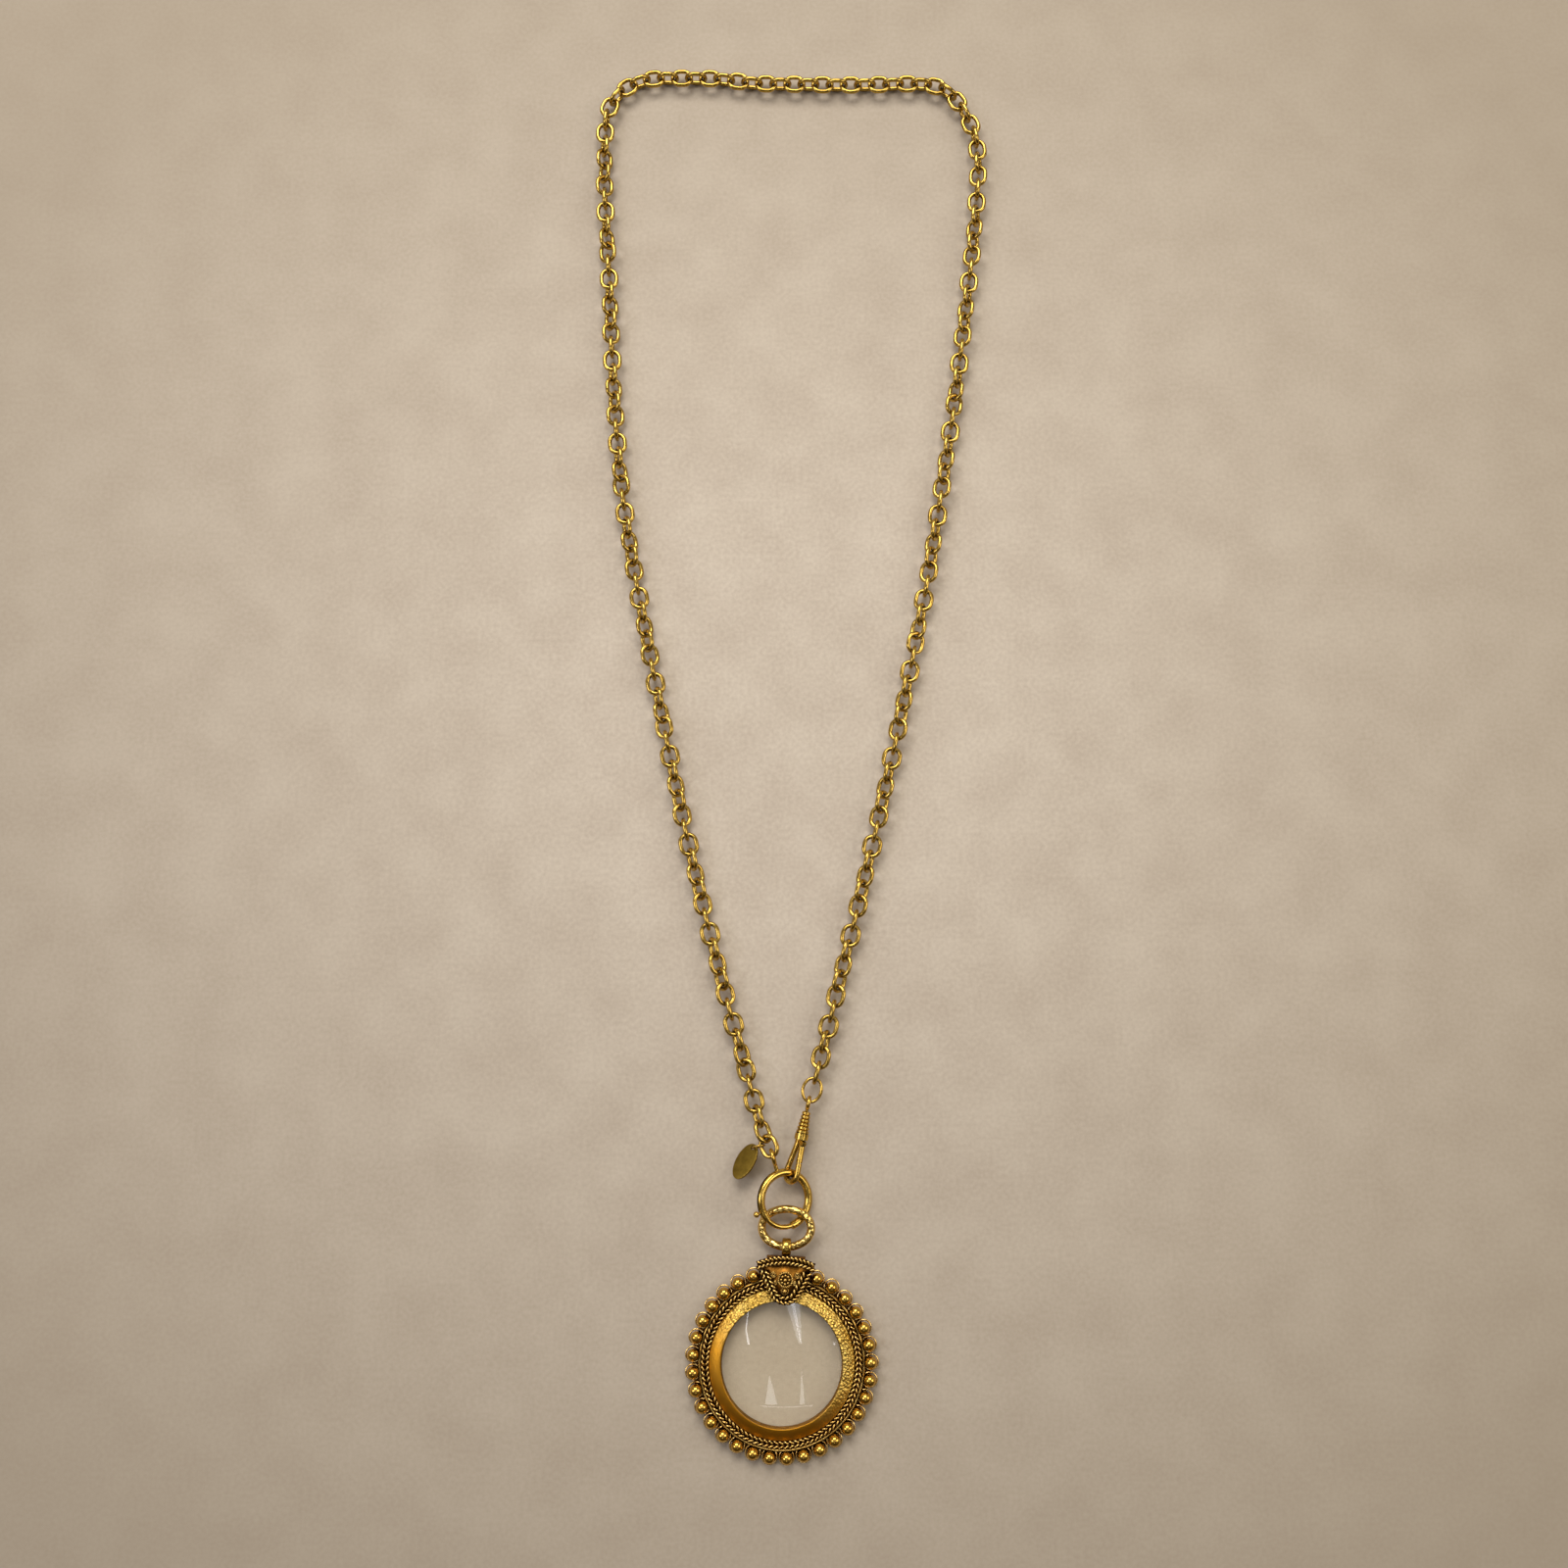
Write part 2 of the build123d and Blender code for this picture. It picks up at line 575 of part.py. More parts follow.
def clasp_hook():
    """The fixed leg, the bend and the nose, with a shank in the barrel and cheeks for the pin."""
    bend = Pos(bend_centre) * arc_wire(
        HOOK_BEND_RADIUS, HOOK_WIRE_RADIUS, fixed_touch, 360 + nose_touch - fixed_touch
    )
    leg = rod(hook_root, fixed_point, HOOK_WIRE_RADIUS)
    nose = rod(nose_point, nose_end, HOOK_WIRE_RADIUS)
    shank = rod(Vector(0, -CHEEK_RADIUS / 2, 0), Vector(0, SHANK_LENGTH, 0), SHANK_RADIUS)
    half = slot_half + CHEEK_THICKNESS
    root = bar(-HOOK_ROOT_OFFSET - HOOK_WIRE_RADIUS, GATE_PIVOT_OFFSET, -GATE_PIVOT_DROP, 0,
               -half, half)
    knuckle = Pos(gate_pivot) * Cylinder(CHEEK_RADIUS, 2 * half)
    slot_left = -HOOK_ROOT_OFFSET + HOOK_WIRE_RADIUS
    slot = bar(slot_left, GATE_PIVOT_OFFSET + 2 * CHEEK_RADIUS, -3 * GATE_PIVOT_DROP, -PIN_CLEARANCE,
               -slot_half, slot_half)
    above = Pos(0, HOOK_REACH / 2, 0) * Box(HOOK_REACH, HOOK_REACH, HOOK_REACH)
    body = one(bend, leg, nose) + one(root, knuckle) - slot - above
    body = body - Pos(gate_pivot) * Cylinder(PIN_RADIUS, 4 * half)
    return clasp_place * one(body, shank - slot)


def clasp_gate():
    """The sprung lever that closes the hook, with a tongue between the cheeks."""
    start = gate_pivot + gate_down * (CHEEK_RADIUS + PIN_CLEARANCE)
    lever = rod(start, gate_end, HOOK_WIRE_RADIUS)
    half = GATE_TONGUE / 2
    cheek = CHEEK_RADIUS - PIN_CLEARANCE * 2
    lean = math.degrees(math.atan2(gate_down.Y, gate_down.X))
    run = CHEEK_RADIUS + PIN_CLEARANCE + HOOK_WIRE_RADIUS
    neck = Pos(gate_pivot) * Rot(0, 0, lean) * bar(0, run, -cheek / 2, cheek / 2, -half, 0)
    tongue = Pos(gate_pivot) * Pos(0, 0, -half / 2) * Cylinder(cheek, half)
    body = one(lever, neck, tongue)
    hole = Pos(gate_pivot) * Cylinder(PIN_RADIUS + PIN_CLEARANCE, 4 * half)
    return clasp_place * (body - hole)


def gate_pin():
    """The pin through both cheeks and the gate's tongue."""
    half = slot_half + CHEEK_THICKNESS
    return clasp_place * Pos(gate_pivot) * Cylinder(PIN_RADIUS, 2 * half)


def gate_spring():
    """The torsion coil beside the tongue on the pin, drawn as a sleeve."""
    inner = PIN_RADIUS + PIN_CLEARANCE
    length = GATE_TONGUE / 2
    sleeve = Cylinder(inner + SPRING_WIRE_RADIUS, length) - Cylinder(inner, length * 2)
    return clasp_place * Pos(gate_pivot) * Pos(0, 0, length / 2 + PIN_CLEARANCE) * sleeve


head_foot = BARREL_LENGTH - SWIVEL_ROOF - SWIVEL_HEAD_LENGTH - SWIVEL_CLEARANCE
cavity_foot = head_foot - SWIVEL_CLEARANCE


def clasp_barrel():
    """The ribbed, tapering sleeve: the hook's shank below, the swivel's head above."""
    collar = BARREL_COLLAR_LENGTH
    step = (BARREL_LENGTH - collar) / BARREL_RIB_COUNT
    bore = SHANK_RADIUS + SHANK_CLEARANCE
    roof_bore = SWIVEL_STEM_RADIUS + SWIVEL_CLEARANCE
    cavity = SWIVEL_HEAD_RADIUS + SWIVEL_CLEARANCE
    crown = BARREL_LENGTH - SWIVEL_ROOF

    def taper(height):
        run = (height - collar) / (BARREL_LENGTH - collar)
        start = BARREL_BASE_RADIUS - BARREL_COLLAR_STEP
        return start + (BARREL_TOP_RADIUS - start) * run

    outline = [(bore, 0), (BARREL_BASE_RADIUS, 0), (BARREL_BASE_RADIUS, collar)]
    for i in range(BARREL_RIB_COUNT):
        low = collar + i * step
        outline += [(taper(low) - BARREL_RIB_DEPTH, low), (taper(low + step / 2), low + step / 4)]
        outline += [(taper(low + step / 2), low + step * 3 / 4)]
    outline += [(BARREL_TOP_RADIUS - BARREL_RIB_DEPTH, BARREL_LENGTH)]
    outline += [(roof_bore, BARREL_LENGTH), (roof_bore, crown), (cavity, crown)]
    outline += [(cavity, cavity_foot), (bore, cavity_foot)]
    return clasp_place * Rot(-90, 0, 0) * turned(outline)


swivel_centre = clasp_base + clasp_up * (
    BARREL_LENGTH + SWIVEL_NECK_LENGTH + SWIVEL_EYE_RADIUS + SWIVEL_EYE_WIRE_RADIUS
)


def swivel_eye():
    """The eye that turns in the barrel: a loop, its stem and the head that holds it in."""
    ring = Torus(SWIVEL_EYE_RADIUS, SWIVEL_EYE_WIRE_RADIUS)
    loop = frame(swivel_centre, clasp_up, clasp_side) * ring
    foot = clasp_base + clasp_up * head_foot
    head = rod(foot, foot + clasp_up * SWIVEL_HEAD_LENGTH, SWIVEL_HEAD_RADIUS)
    stem = rod(foot, swivel_centre - clasp_up * SWIVEL_EYE_RADIUS, SWIVEL_STEM_RADIUS)
    return one(head, stem, loop)


jump_dir = compass(90 - JUMP_LEAN_ANGLE)
jump_tip = swivel_centre + clasp_up * (
    SWIVEL_EYE_RADIUS - SWIVEL_EYE_WIRE_RADIUS - JUMP_WIRE_RADIUS - LINK_SLACK
)
jump_centre = jump_tip + jump_dir * JUMP_HALF_LENGTH


def jump_ring():
    """The thin oval ring between the swivel and the chain."""
    oval = oval_wire(JUMP_HALF_LENGTH, JUMP_HALF_WIDTH, JUMP_END_RADIUS, JUMP_WIRE_RADIUS)
    return frame(jump_centre, jump_dir.cross(Z), Z) * oval


# Chain
pitch = LINK_INNER_LENGTH - LINK_SLACK
half_width = LINK_OUTER_WIDTH / 2 - LINK_WIRE_RADIUS
half_straight = LINK_INNER_LENGTH / 2 + LINK_WIRE_RADIUS - half_width
left_start = eye_centre + eye_out * (EYE_RADIUS - EYE_WIRE_RADIUS - EYE_SLACK)
right_start = jump_centre + jump_dir * (JUMP_HALF_LENGTH - JUMP_WIRE_RADIUS - LINK_SLACK / 2)


def link():
    """One link of round wire, long along Y: two half rings and two straight sides."""
    wire = LINK_WIRE_RADIUS
    ends = [Pos(0, half_straight, 0) * arc_wire(half_width, wire, 0, 180),
            Pos(0, -half_straight, 0) * arc_wire(half_width, wire, 180, 180)]
    sides = [rod(Vector(x, -half_straight, 0), Vector(x, half_straight, 0), wire)
             for x in (-half_width, half_width)]
    return one(ends[0], sides[0], ends[1], sides[1])


def route():
    """Points close together along the chain, which comes down from the eye and the jump ring."""
    start, end = left_start, right_start
    places = [Vector(x * CHAIN_SPREAD, start.Y + y * CHAIN_LENGTH, 0) for x, y in ROUTE_SHARES]
    flat = Spline([Vector(start.X, start.Y, 0)] + places + [Vector(end.X, end.Y, 0)])
    count = int(flat.length / ROUTE_STEP)
    points = []
    for i in range(count + 1):
        along = flat.length * i / count
        fall = max(0, 1 - along / SETTLE_LENGTH) ** 2 * (start.Z - CHAIN_HEIGHT)
        rise = max(0, 1 - (flat.length - along) / SETTLE_LENGTH) ** 2 * (end.Z - CHAIN_HEIGHT)
        points.append(flat.position_at(i / count) + Z * (CHAIN_HEIGHT + fall + rise))
    return points


def walk(points, step, count):
    """Contact points a step apart along the route, and how far along it the last one lies."""
    found, here, place = [points[0]], points[0], 0
    while len(found) <= count and place < len(points) - 1:
        if (points[place + 1] - here).length < step:
            place += 1
            continue
        low, high = points[place], points[place + 1]
        if (low - here).length > step:
            low = here
        share = bisect_share(low, high, here, step)
        here = low + (high - low) * share
        found.append(here)
    return found, place + (here - points[place]).length / ROUTE_STEP


def bisect_share(low, high, here, step):
    """Where between two points the distance from here reaches the step."""
    near, far = 0.0, 1.0
    while far - near > TOLERANCE:
        middle = (near + far) / 2
        if (low + (high - low) * middle - here).length < step:
            near = middle
        else:
            far = middle
    return near


def contacts():
    """The places where each link meets the next, evenly spaced from the eye to the jump ring."""
    points = route()
    length = sum((b - a).length for a, b in zip(points, points[1:]))
    count = math.ceil(length / pitch)
    low, high = pitch * PITCH_LOW_SHARE, pitch
    while high - low > TOLERANCE:
        middle = (low + high) / 2
        found, reached = walk(points, middle, count)
        if len(found) > count and reached < len(points) - 1:
            low = middle
        else:
            high = middle
    found, reached = walk(points, low, count)
    return found[:count] + [points[-1]]


def nearest(indices, height):
    """The contact of a strand that lies nearest a height up the chain."""
    return min(indices, key=lambda i: abs(meets[i].Y - height))


meets = contacts()
link_count = len(meets) - 1
middle_link = max(range(link_count), key=lambda i: meets[i].Y - abs(meets[i].X))
crown = CHAIN_LENGTH * ROWS_SHARE + left_start.Y
fold_heights = [jump_tip.Y + (crown - jump_tip.Y) * i / ROW_COUNT for i in range(ROW_COUNT + 1)]
left_folds = [nearest(range(middle_link), y) for y in fold_heights]
left_folds[0] += 1
right_folds = [link_count] + [nearest(range(middle_link, link_count), y) for y in fold_heights[1:]]
if (right_folds[-1] - left_folds[-1]) % 2 == 0:
    right_folds[-1] += 1


def twists(count, first, last, bulge):
    """The turn of each link about the chain, a quarter turn on from its neighbour or nearly."""
    drift = (last - first - 90 * (count - 1) + 90) % 180 - 90
    even = 1 - abs(drift) / 90
    steps = [i / max(count - 1, 1) for i in range(count)]
    return [first + 90 * i + drift * s + bulge * (count - 1) * even * math.sin(math.pi * s)
            for i, s in enumerate(steps)]


link_solid = link()


def link_frame(index):
    """A link's middle, its direction up the route, its side and its top."""
    ahead = (meets[index + 1] - meets[index]).normalized()
    side = ahead.cross(Z).normalized()
    return (meets[index] + meets[index + 1]) / 2, ahead, side, side.cross(ahead)


def placed_link(index, twist):
    """A link set between two contact points, turned about the chain."""
    centre, ahead, side, top = link_frame(index)
    return frame(centre, side, top) * Rot(0, twist, 0) * link_solid


def strand(indices, first, last, bulge):
    """A run of links, from the lower end up."""
    return [placed_link(i, t) for i, t in zip(indices, twists(len(indices), first, last, bulge))]


def left_row(row):
    """The left strand between two folds: upright link first, flat link last."""
    return strand(list(range(left_folds[row], left_folds[row + 1])), 90, 0, TWIST_BULGE_ANGLE)


def right_row(row):
    """The right strand between the same folds."""
    indices = list(range(right_folds[row] - 1, right_folds[row + 1] - 1, -1))
    return strand(indices, 90, 0, TWIST_BULGE_ANGLE)


# Tag
first_centre, first_ahead, first_side, first_top = link_frame(0)
tag_twist = math.radians(TAG_LINK_TWIST_ANGLE)
leg_side = first_side * math.cos(tag_twist) - first_top * math.sin(tag_twist)
leg_angle = math.radians(TAG_LEG_ANGLE)
leg_out = first_ahead * math.sin(leg_angle) - leg_side * math.cos(leg_angle)
leg_way = first_ahead * math.cos(leg_angle) + leg_side * math.sin(leg_angle)
leg_point = first_centre + first_ahead * half_straight + leg_out * half_width
hang_angle = math.radians(TAG_RING_HANG_ANGLE)
hang = X * math.cos(hang_angle) + Z * math.sin(hang_angle)
hang = (hang - leg_way * hang.dot(leg_way)).normalized()
tag_ring_centre = leg_point + hang * (
    TAG_RING_RADIUS - TAG_RING_WIRE_RADIUS - LINK_WIRE_RADIUS - TAG_LEG_GAP
)
tag_hole = tag_ring_centre + hang * TAG_RING_RADIUS


def tag_ring():
    """The thin ring round the bend at the first link's upper end."""
    return frame(tag_ring_centre, hang, leg_way) * Torus(TAG_RING_RADIUS, TAG_RING_WIRE_RADIUS)


def tag():
    """A plain oval tag with a hole at its end."""
    down = compass(TAG_BEARING_ANGLE)
    roll = math.radians(TAG_ROLL_ANGLE)
    normal = Z * math.cos(roll) + compass(TAG_BEARING_ANGLE - 90) * math.sin(roll)
    hole_reach = TAG_LENGTH / 2 - TAG_HOLE_MARGIN - TAG_HOLE_RADIUS
    plate = extrude(Ellipse(TAG_LENGTH / 2, TAG_WIDTH / 2), TAG_THICKNESS / 2, both=True)
    plate = fillet(plate.edges(), TAG_THICKNESS / 4)
    plate = plate - Pos(-hole_reach, 0, 0) * Cylinder(TAG_HOLE_RADIUS, TAG_THICKNESS * 2)
    return frame(tag_hole + down * hole_reach, down, normal) * plate


# Pieces, one node each
pendant = {
    "back_plate": [back_plate()],
    "lens_seat": [lens_seat()],
    "lens": [lens()],
    "bezel_band": [bezel_band()],
    "braid_inner_wire": [ring_wire(braid_inner_radius, BRAID_WIRE_RADIUS, bed_top)],
    "braid_outer_wire": [ring_wire(braid_outer_radius, BRAID_WIRE_RADIUS, bed_top)],
    "rim_wire": [ring_wire(rim_radius, RIM_WIRE_RADIUS, bed_top)],
    "beads": beads(),
    "bead_loops": bead_loops(),
    "crest_plate": [crest_plate()],
    "crest_border_outer": [rope_border(0)],
    "crest_border_inner": [rope_border(BORDER_SPACING)],
    "cap_rope_lower": [cap_rope(0)],
    "cap_rope_upper": [cap_rope(1)],
    "crest_rosette": crest_rosette(),
    "crest_boss": [crest_boss()],
    "bail_loop": [bail_loop()],
}
pieces = {name: [pendant_turn * solid for solid in solids] for name, solids in pendant.items()}
pieces |= {
    "hanging_ring": [hanging_ring()],
    "spring_ring_tube": [spring_ring_tube()],
    "spring_ring_bolt": [spring_ring_bolt()],
    "spring_ring_knob": [spring_ring_knob()],
    "bolt_spring": [bolt_spring()],
    "spring_ring_eye": [spring_ring_eye()],
    "clasp_hook": [clasp_hook()],
    "clasp_gate": [clasp_gate()],
    "gate_pin": [gate_pin()],
    "gate_spring": [gate_spring()],
    "clasp_barrel": [clasp_barrel()],
    "swivel_eye": [swivel_eye()],
    "jump_ring": [jump_ring()],
    "tag_ring": [tag_ring()],
    "tag": [tag()],
    "left_chain_00": strand(list(range(left_folds[0])), TAG_LINK_TWIST_ANGLE, 0, 0),
    "chain_top": strand(list(range(left_folds[-1], right_folds[-1])), 90, 90, 0),
}
for row in range(ROW_COUNT):
    pieces[f"left_chain_{row + 1:02d}"] = left_row(row)
    pieces[f"right_chain_{row + 1:02d}"] = right_row(row)

# The footprint's middle becomes the zero point
footprint = Compound(sum(pieces.values(), [])).bounding_box()
shift = Vector(-footprint.center().X, -footprint.center().Y, -footprint.min.Z)
os.makedirs("parts", exist_ok=True)
for name, solids in pieces.items():
    export_step(Compound([Pos(shift) * solid for solid in solids]), f"parts/{name}.step")
print("links", link_count, "size", footprint.size)
print("shift", shift.X, shift.Y, shift.Z)
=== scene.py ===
# %% [markdown]
# # A quizzing glass on its chain
# The object is a round convex lens in a gilt bezel, with twisted wire, soldered beads and a small
# shield-shaped crest. It hangs from a hammered ring, a spring ring and a long chain of oval links.
# The measured frame is loaded first, and every piece below is built in the same place and size.
# The pendant is drawn upright about the lens's centre, in millimetres, and one matrix moves it.

import json
import math

import bmesh
import bpy
import numpy as np
from mathutils import Matrix, Vector

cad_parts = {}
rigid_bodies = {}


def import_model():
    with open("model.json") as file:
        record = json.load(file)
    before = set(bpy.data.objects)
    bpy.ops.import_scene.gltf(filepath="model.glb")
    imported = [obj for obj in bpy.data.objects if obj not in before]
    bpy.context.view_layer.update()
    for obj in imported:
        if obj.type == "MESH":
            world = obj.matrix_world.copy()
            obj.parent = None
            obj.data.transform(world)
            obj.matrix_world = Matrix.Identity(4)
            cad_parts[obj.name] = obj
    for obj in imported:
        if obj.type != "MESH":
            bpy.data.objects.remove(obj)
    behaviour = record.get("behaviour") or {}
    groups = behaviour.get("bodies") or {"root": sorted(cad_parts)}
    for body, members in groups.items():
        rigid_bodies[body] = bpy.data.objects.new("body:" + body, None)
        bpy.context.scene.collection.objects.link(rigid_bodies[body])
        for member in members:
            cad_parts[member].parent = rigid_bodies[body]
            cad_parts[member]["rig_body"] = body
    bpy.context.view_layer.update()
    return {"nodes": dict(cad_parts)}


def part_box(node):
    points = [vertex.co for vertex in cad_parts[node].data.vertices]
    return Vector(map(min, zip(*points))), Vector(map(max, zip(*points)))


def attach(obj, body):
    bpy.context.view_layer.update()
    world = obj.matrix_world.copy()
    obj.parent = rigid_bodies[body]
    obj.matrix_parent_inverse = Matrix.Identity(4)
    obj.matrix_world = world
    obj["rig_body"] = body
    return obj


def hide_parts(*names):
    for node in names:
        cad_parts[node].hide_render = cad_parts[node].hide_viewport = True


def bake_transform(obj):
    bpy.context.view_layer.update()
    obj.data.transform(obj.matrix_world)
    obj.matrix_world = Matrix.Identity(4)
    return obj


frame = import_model()
MM = 0.001
PENDANT_TURN = math.radians(-2.4)
lens_low, lens_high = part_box("lens")
centre = Vector(((lens_low.x + lens_high.x) / 2, (lens_low.y + lens_high.y) / 2, 0))
in_mm = Matrix.Translation(centre) @ Matrix.Scale(MM, 4)
pendant_place = in_mm @ Matrix.Rotation(PENDANT_TURN, 4, "Z")
print("lens centre", [round(v / MM, 2) for v in centre], "nodes", len(frame["nodes"]))

# %% [markdown]
# ## Camera
# The photograph looks almost straight down, tilted a little towards the top of the chain. A camera
# can be matched by eye. Here its lens and height were worked out from the chain's even links, which
# look larger where they are nearer, because that leaves less to guess.

# %% The camera
SENSOR_MM = 36
FOCAL_PIXELS = 1540
IMAGE_PIXELS = 1600
TILT = math.radians(8.75)
CAMERA_MM = (0.63, 95.90, 443.26)

camera_data = bpy.data.cameras.new("camera")
camera_data.sensor_width = SENSOR_MM
camera_data.lens = SENSOR_MM * FOCAL_PIXELS / IMAGE_PIXELS
camera_data.clip_start = 10 * MM
camera = bpy.data.objects.new("camera", camera_data)
camera.location = centre + Vector(CAMERA_MM) * MM
camera.rotation_euler = (TILT, 0, 0)
bpy.context.scene.collection.objects.link(camera)
bpy.context.scene.camera = camera
bpy.context.scene.view_settings.view_transform = "Standard"
print("focal length", round(camera_data.lens, 2))

# %% [markdown]
# ## Helpers for node trees
# Colours are written as the eye reads them on a screen, and one function turns them to the linear
# values that light is reckoned in. Node trees can be clicked together, but written out they can be
# read and repeated. One helper adds a node with its settings and links, in any kind of tree.

# %% Colour and node helpers


def colour(hex_code):
    """A linear colour from an sRGB hex value."""
    parts = [int(hex_code[i:i + 2], 16) / 255 for i in (1, 3, 5)]
    return [v / 12.92 if v <= 0.04045 else ((v + 0.055) / 1.055) ** 2.4 for v in parts] + [1]


def add(tree, kind, links=None, **settings):
    """Adds a node, gives it its settings, and fills or links its inputs."""
    made = tree.nodes.new(kind)
    for name, value in settings.items():
        setattr(made, name, value)
    for name, value in (links or {}).items():
        if isinstance(value, bpy.types.NodeSocket):
            tree.links.new(value, made.inputs[name])
        else:
            made.inputs[name].default_value = value
    return made


def new_material(name):
    """A material with nodes, with its tree and its main shader."""
    material = bpy.data.materials.new(name)
    material.use_nodes = True
    return material, material.node_tree, material.node_tree.nodes["Principled BSDF"]


def mix(tree, factor, first, second):
    """Goes from one colour to another with a factor; each is a hex value or a node's output."""
    ends = [colour(end) if isinstance(end, str) else end for end in (first, second)]
    return add(tree, "ShaderNodeMix", {"Factor": factor, "A": ends[0], "B": ends[1]},
               data_type="RGBA").outputs["Result"]


def noise(tree, where, size_mm, detail):
    """A soft random pattern of a given size."""
    return add(tree, "ShaderNodeTexNoise", {"Vector": where, "Scale": 1 / (size_mm * MM),
                                            "Detail": detail}).outputs["Fac"]


def ranged(tree, value, low, high, first=0.0, last=1.0, **settings):
    """Carries a value that runs from low to high over to one that runs from first to last."""
    return add(tree, "ShaderNodeMapRange", {"Value": value, "From Min": low, "From Max": high,
                                            "To Min": first, "To Max": last},
               **settings).outputs["Result"]


print("mid grey in linear light", round(colour("#808080")[0], 3))

# %% [markdown]
# ## Antique gold plate
# Gilt brass of this age is bright where it is rubbed, amber where the plate is thick and untouched,
# and dark red-brown where wax and tarnish lie in the corners. That could be painted by hand on each
# piece. Here a noise pattern a few millimetres across mixes the two golds, and an occlusion test
# finds the corners and lays the dark tone there, because one recipe then serves every piece. Fine
# grain, drawn coarser than life so that it shows, breaks up the reflections.

# %% Gold plate with patina
PATINA_ROUGHNESS = 0.6
GRAIN_DEPTH_MM = 0.1


def gilt(name, bright, deep, patina, roughness, tone_mm, corner_mm, grain_mm=0.5, grain=0.2,
         open_at=0.75, shut_at=0.15):
    """Gold plate: two golds in a soft pattern, patina in the corners and a fine grain.

    The patina is full where the occlusion test gives shut_at, and gone where it gives open_at.
    """
    material, tree, shader = new_material(name)
    where = add(tree, "ShaderNodeTexCoord").outputs["Object"]
    golds = mix(tree, noise(tree, where, tone_mm, 3), deep, bright)
    corner = add(tree, "ShaderNodeAmbientOcclusion", {"Distance": corner_mm * MM}, samples=6)
    clear = ranged(tree, corner.outputs["AO"], shut_at, open_at)
    tree.links.new(mix(tree, clear, patina, golds), shader.inputs["Base Color"])
    rough = ranged(tree, clear, 0.0, 1.0, PATINA_ROUGHNESS, roughness)
    tree.links.new(rough, shader.inputs["Roughness"])
    bump = add(tree, "ShaderNodeBump", {"Height": noise(tree, where, grain_mm, 4), "Strength": grain,
                                        "Distance": GRAIN_DEPTH_MM * MM})
    tree.links.new(bump.outputs["Normal"], shader.inputs["Normal"])
    shader.inputs["Metallic"].default_value = 1
    return material


gilt_wire = gilt("gilt wire, drawn and soldered", "#f0cf7c", "#b5812c", "#2c1008", roughness=0.22,
                 tone_mm=2.5, corner_mm=0.8, grain=0.3, open_at=0.92, shut_at=0.42)
# The loop wire is painted a lighter gold than the other gilt wire, a painted highlight that keeps it
# bright where the beads shade it.
gilt_loop_painted_lighter = gilt("gilt loop wire, drawn and bent, painted lighter", "#ffe6a4", "#dcae54", "#6a3a18", roughness=0.24,
                 tone_mm=2.5, corner_mm=0.35, open_at=0.7, shut_at=0.1)
gilt_bead = gilt("gilt beads, cast and soldered", "#e8c060", "#b07e26", "#34140a", roughness=0.17,
                 tone_mm=3.0, corner_mm=1.2, open_at=0.85, shut_at=0.25)
# Partly tarnish and partly painted shade: dark golds, and a patina that spreads wherever anything
# stands near, as in the gaps under the loops and beads.
gilt_plate = gilt("gilt plate, tarnished and painted shade", "#a67a36", "#6f4820", "#260e08", roughness=0.4,
                  tone_mm=2.0, corner_mm=1.5, grain_mm=0.4, grain=0.5, open_at=0.97, shut_at=0.5)
gilt_chain = gilt("gilt chain wire, rubbed", "#dcbb62", "#967224", "#2c1806", roughness=0.2,
                  tone_mm=4.0, corner_mm=1.0, grain_mm=0.6, open_at=0.85, shut_at=0.2)
gilt_clasp = gilt("gilt clasp, polished", "#e6c264", "#a87e28", "#34180a", roughness=0.18,
                  tone_mm=3.0, corner_mm=1.0, grain_mm=0.6, open_at=0.85, shut_at=0.2)
gilt_rope = gilt("gilt rope, two drawn wires twisted", "#f6d888", "#c8943a", "#240c06",
                 roughness=0.24, tone_mm=2.5, corner_mm=0.6, open_at=0.85, shut_at=0.1)
spring_steel = gilt("spring steel wire, drawn", "#bdbdbd", "#8e8e8e", "#303030", roughness=0.3,
                    tone_mm=2.0, corner_mm=0.5, grain_mm=0.4)
print("materials", len(bpy.data.materials))

# %% [markdown]
# ## Painted shade in the twists
# In a twisted rope each wire is bright where it crosses on top and dark where it dives between the
# others, and here that dark is painted shade. The occlusion test is too soft to show it on such thin
# wire. So the tree that twists the wires notes how high each point was swung, as lift, and this
# finish paints the shade where the lift is low.

# %% The ropes' painted groove shade
GROOVE_PAINTED_SHADE, CROSSING_LIFT = "#43240e", 0.85


def paint_shade_under(material, factor, tone):
    """Paints a shade tone in place of the finish's own colour, fully where the factor is 0."""
    tree = material.node_tree
    base = tree.nodes["Principled BSDF"].inputs["Base Color"]
    tree.links.new(mix(tree, factor, tone, base.links[0].from_socket), base)


tree = gilt_rope.node_tree
lift = add(tree, "ShaderNodeAttribute", attribute_name="lift").outputs["Fac"]
crossing = ranged(tree, lift, 0.0, CROSSING_LIFT, interpolation_type="SMOOTHSTEP")
# Painted shade on the lower half of each wire, where it dives between the others.
paint_shade_under(gilt_rope, crossing, GROOVE_PAINTED_SHADE)
print("rope finish of", len(tree.nodes), "nodes")

# %% [markdown]
# ## Three finishes of their own
# The bezel's cone was struck with a fine punch on its upper right side and is smooth on the lower
# left, where an amber tone is painted shade. The hanging ring is paler and hammered, in flats a
# millimetre and a half across.
# The tag is unplated bronze, duller and greener. Punch marks could be cut into the mesh, but a cell
# pattern in the bump costs no faces.

# %% Struck bezel with painted shade, hammered ring and worn tag


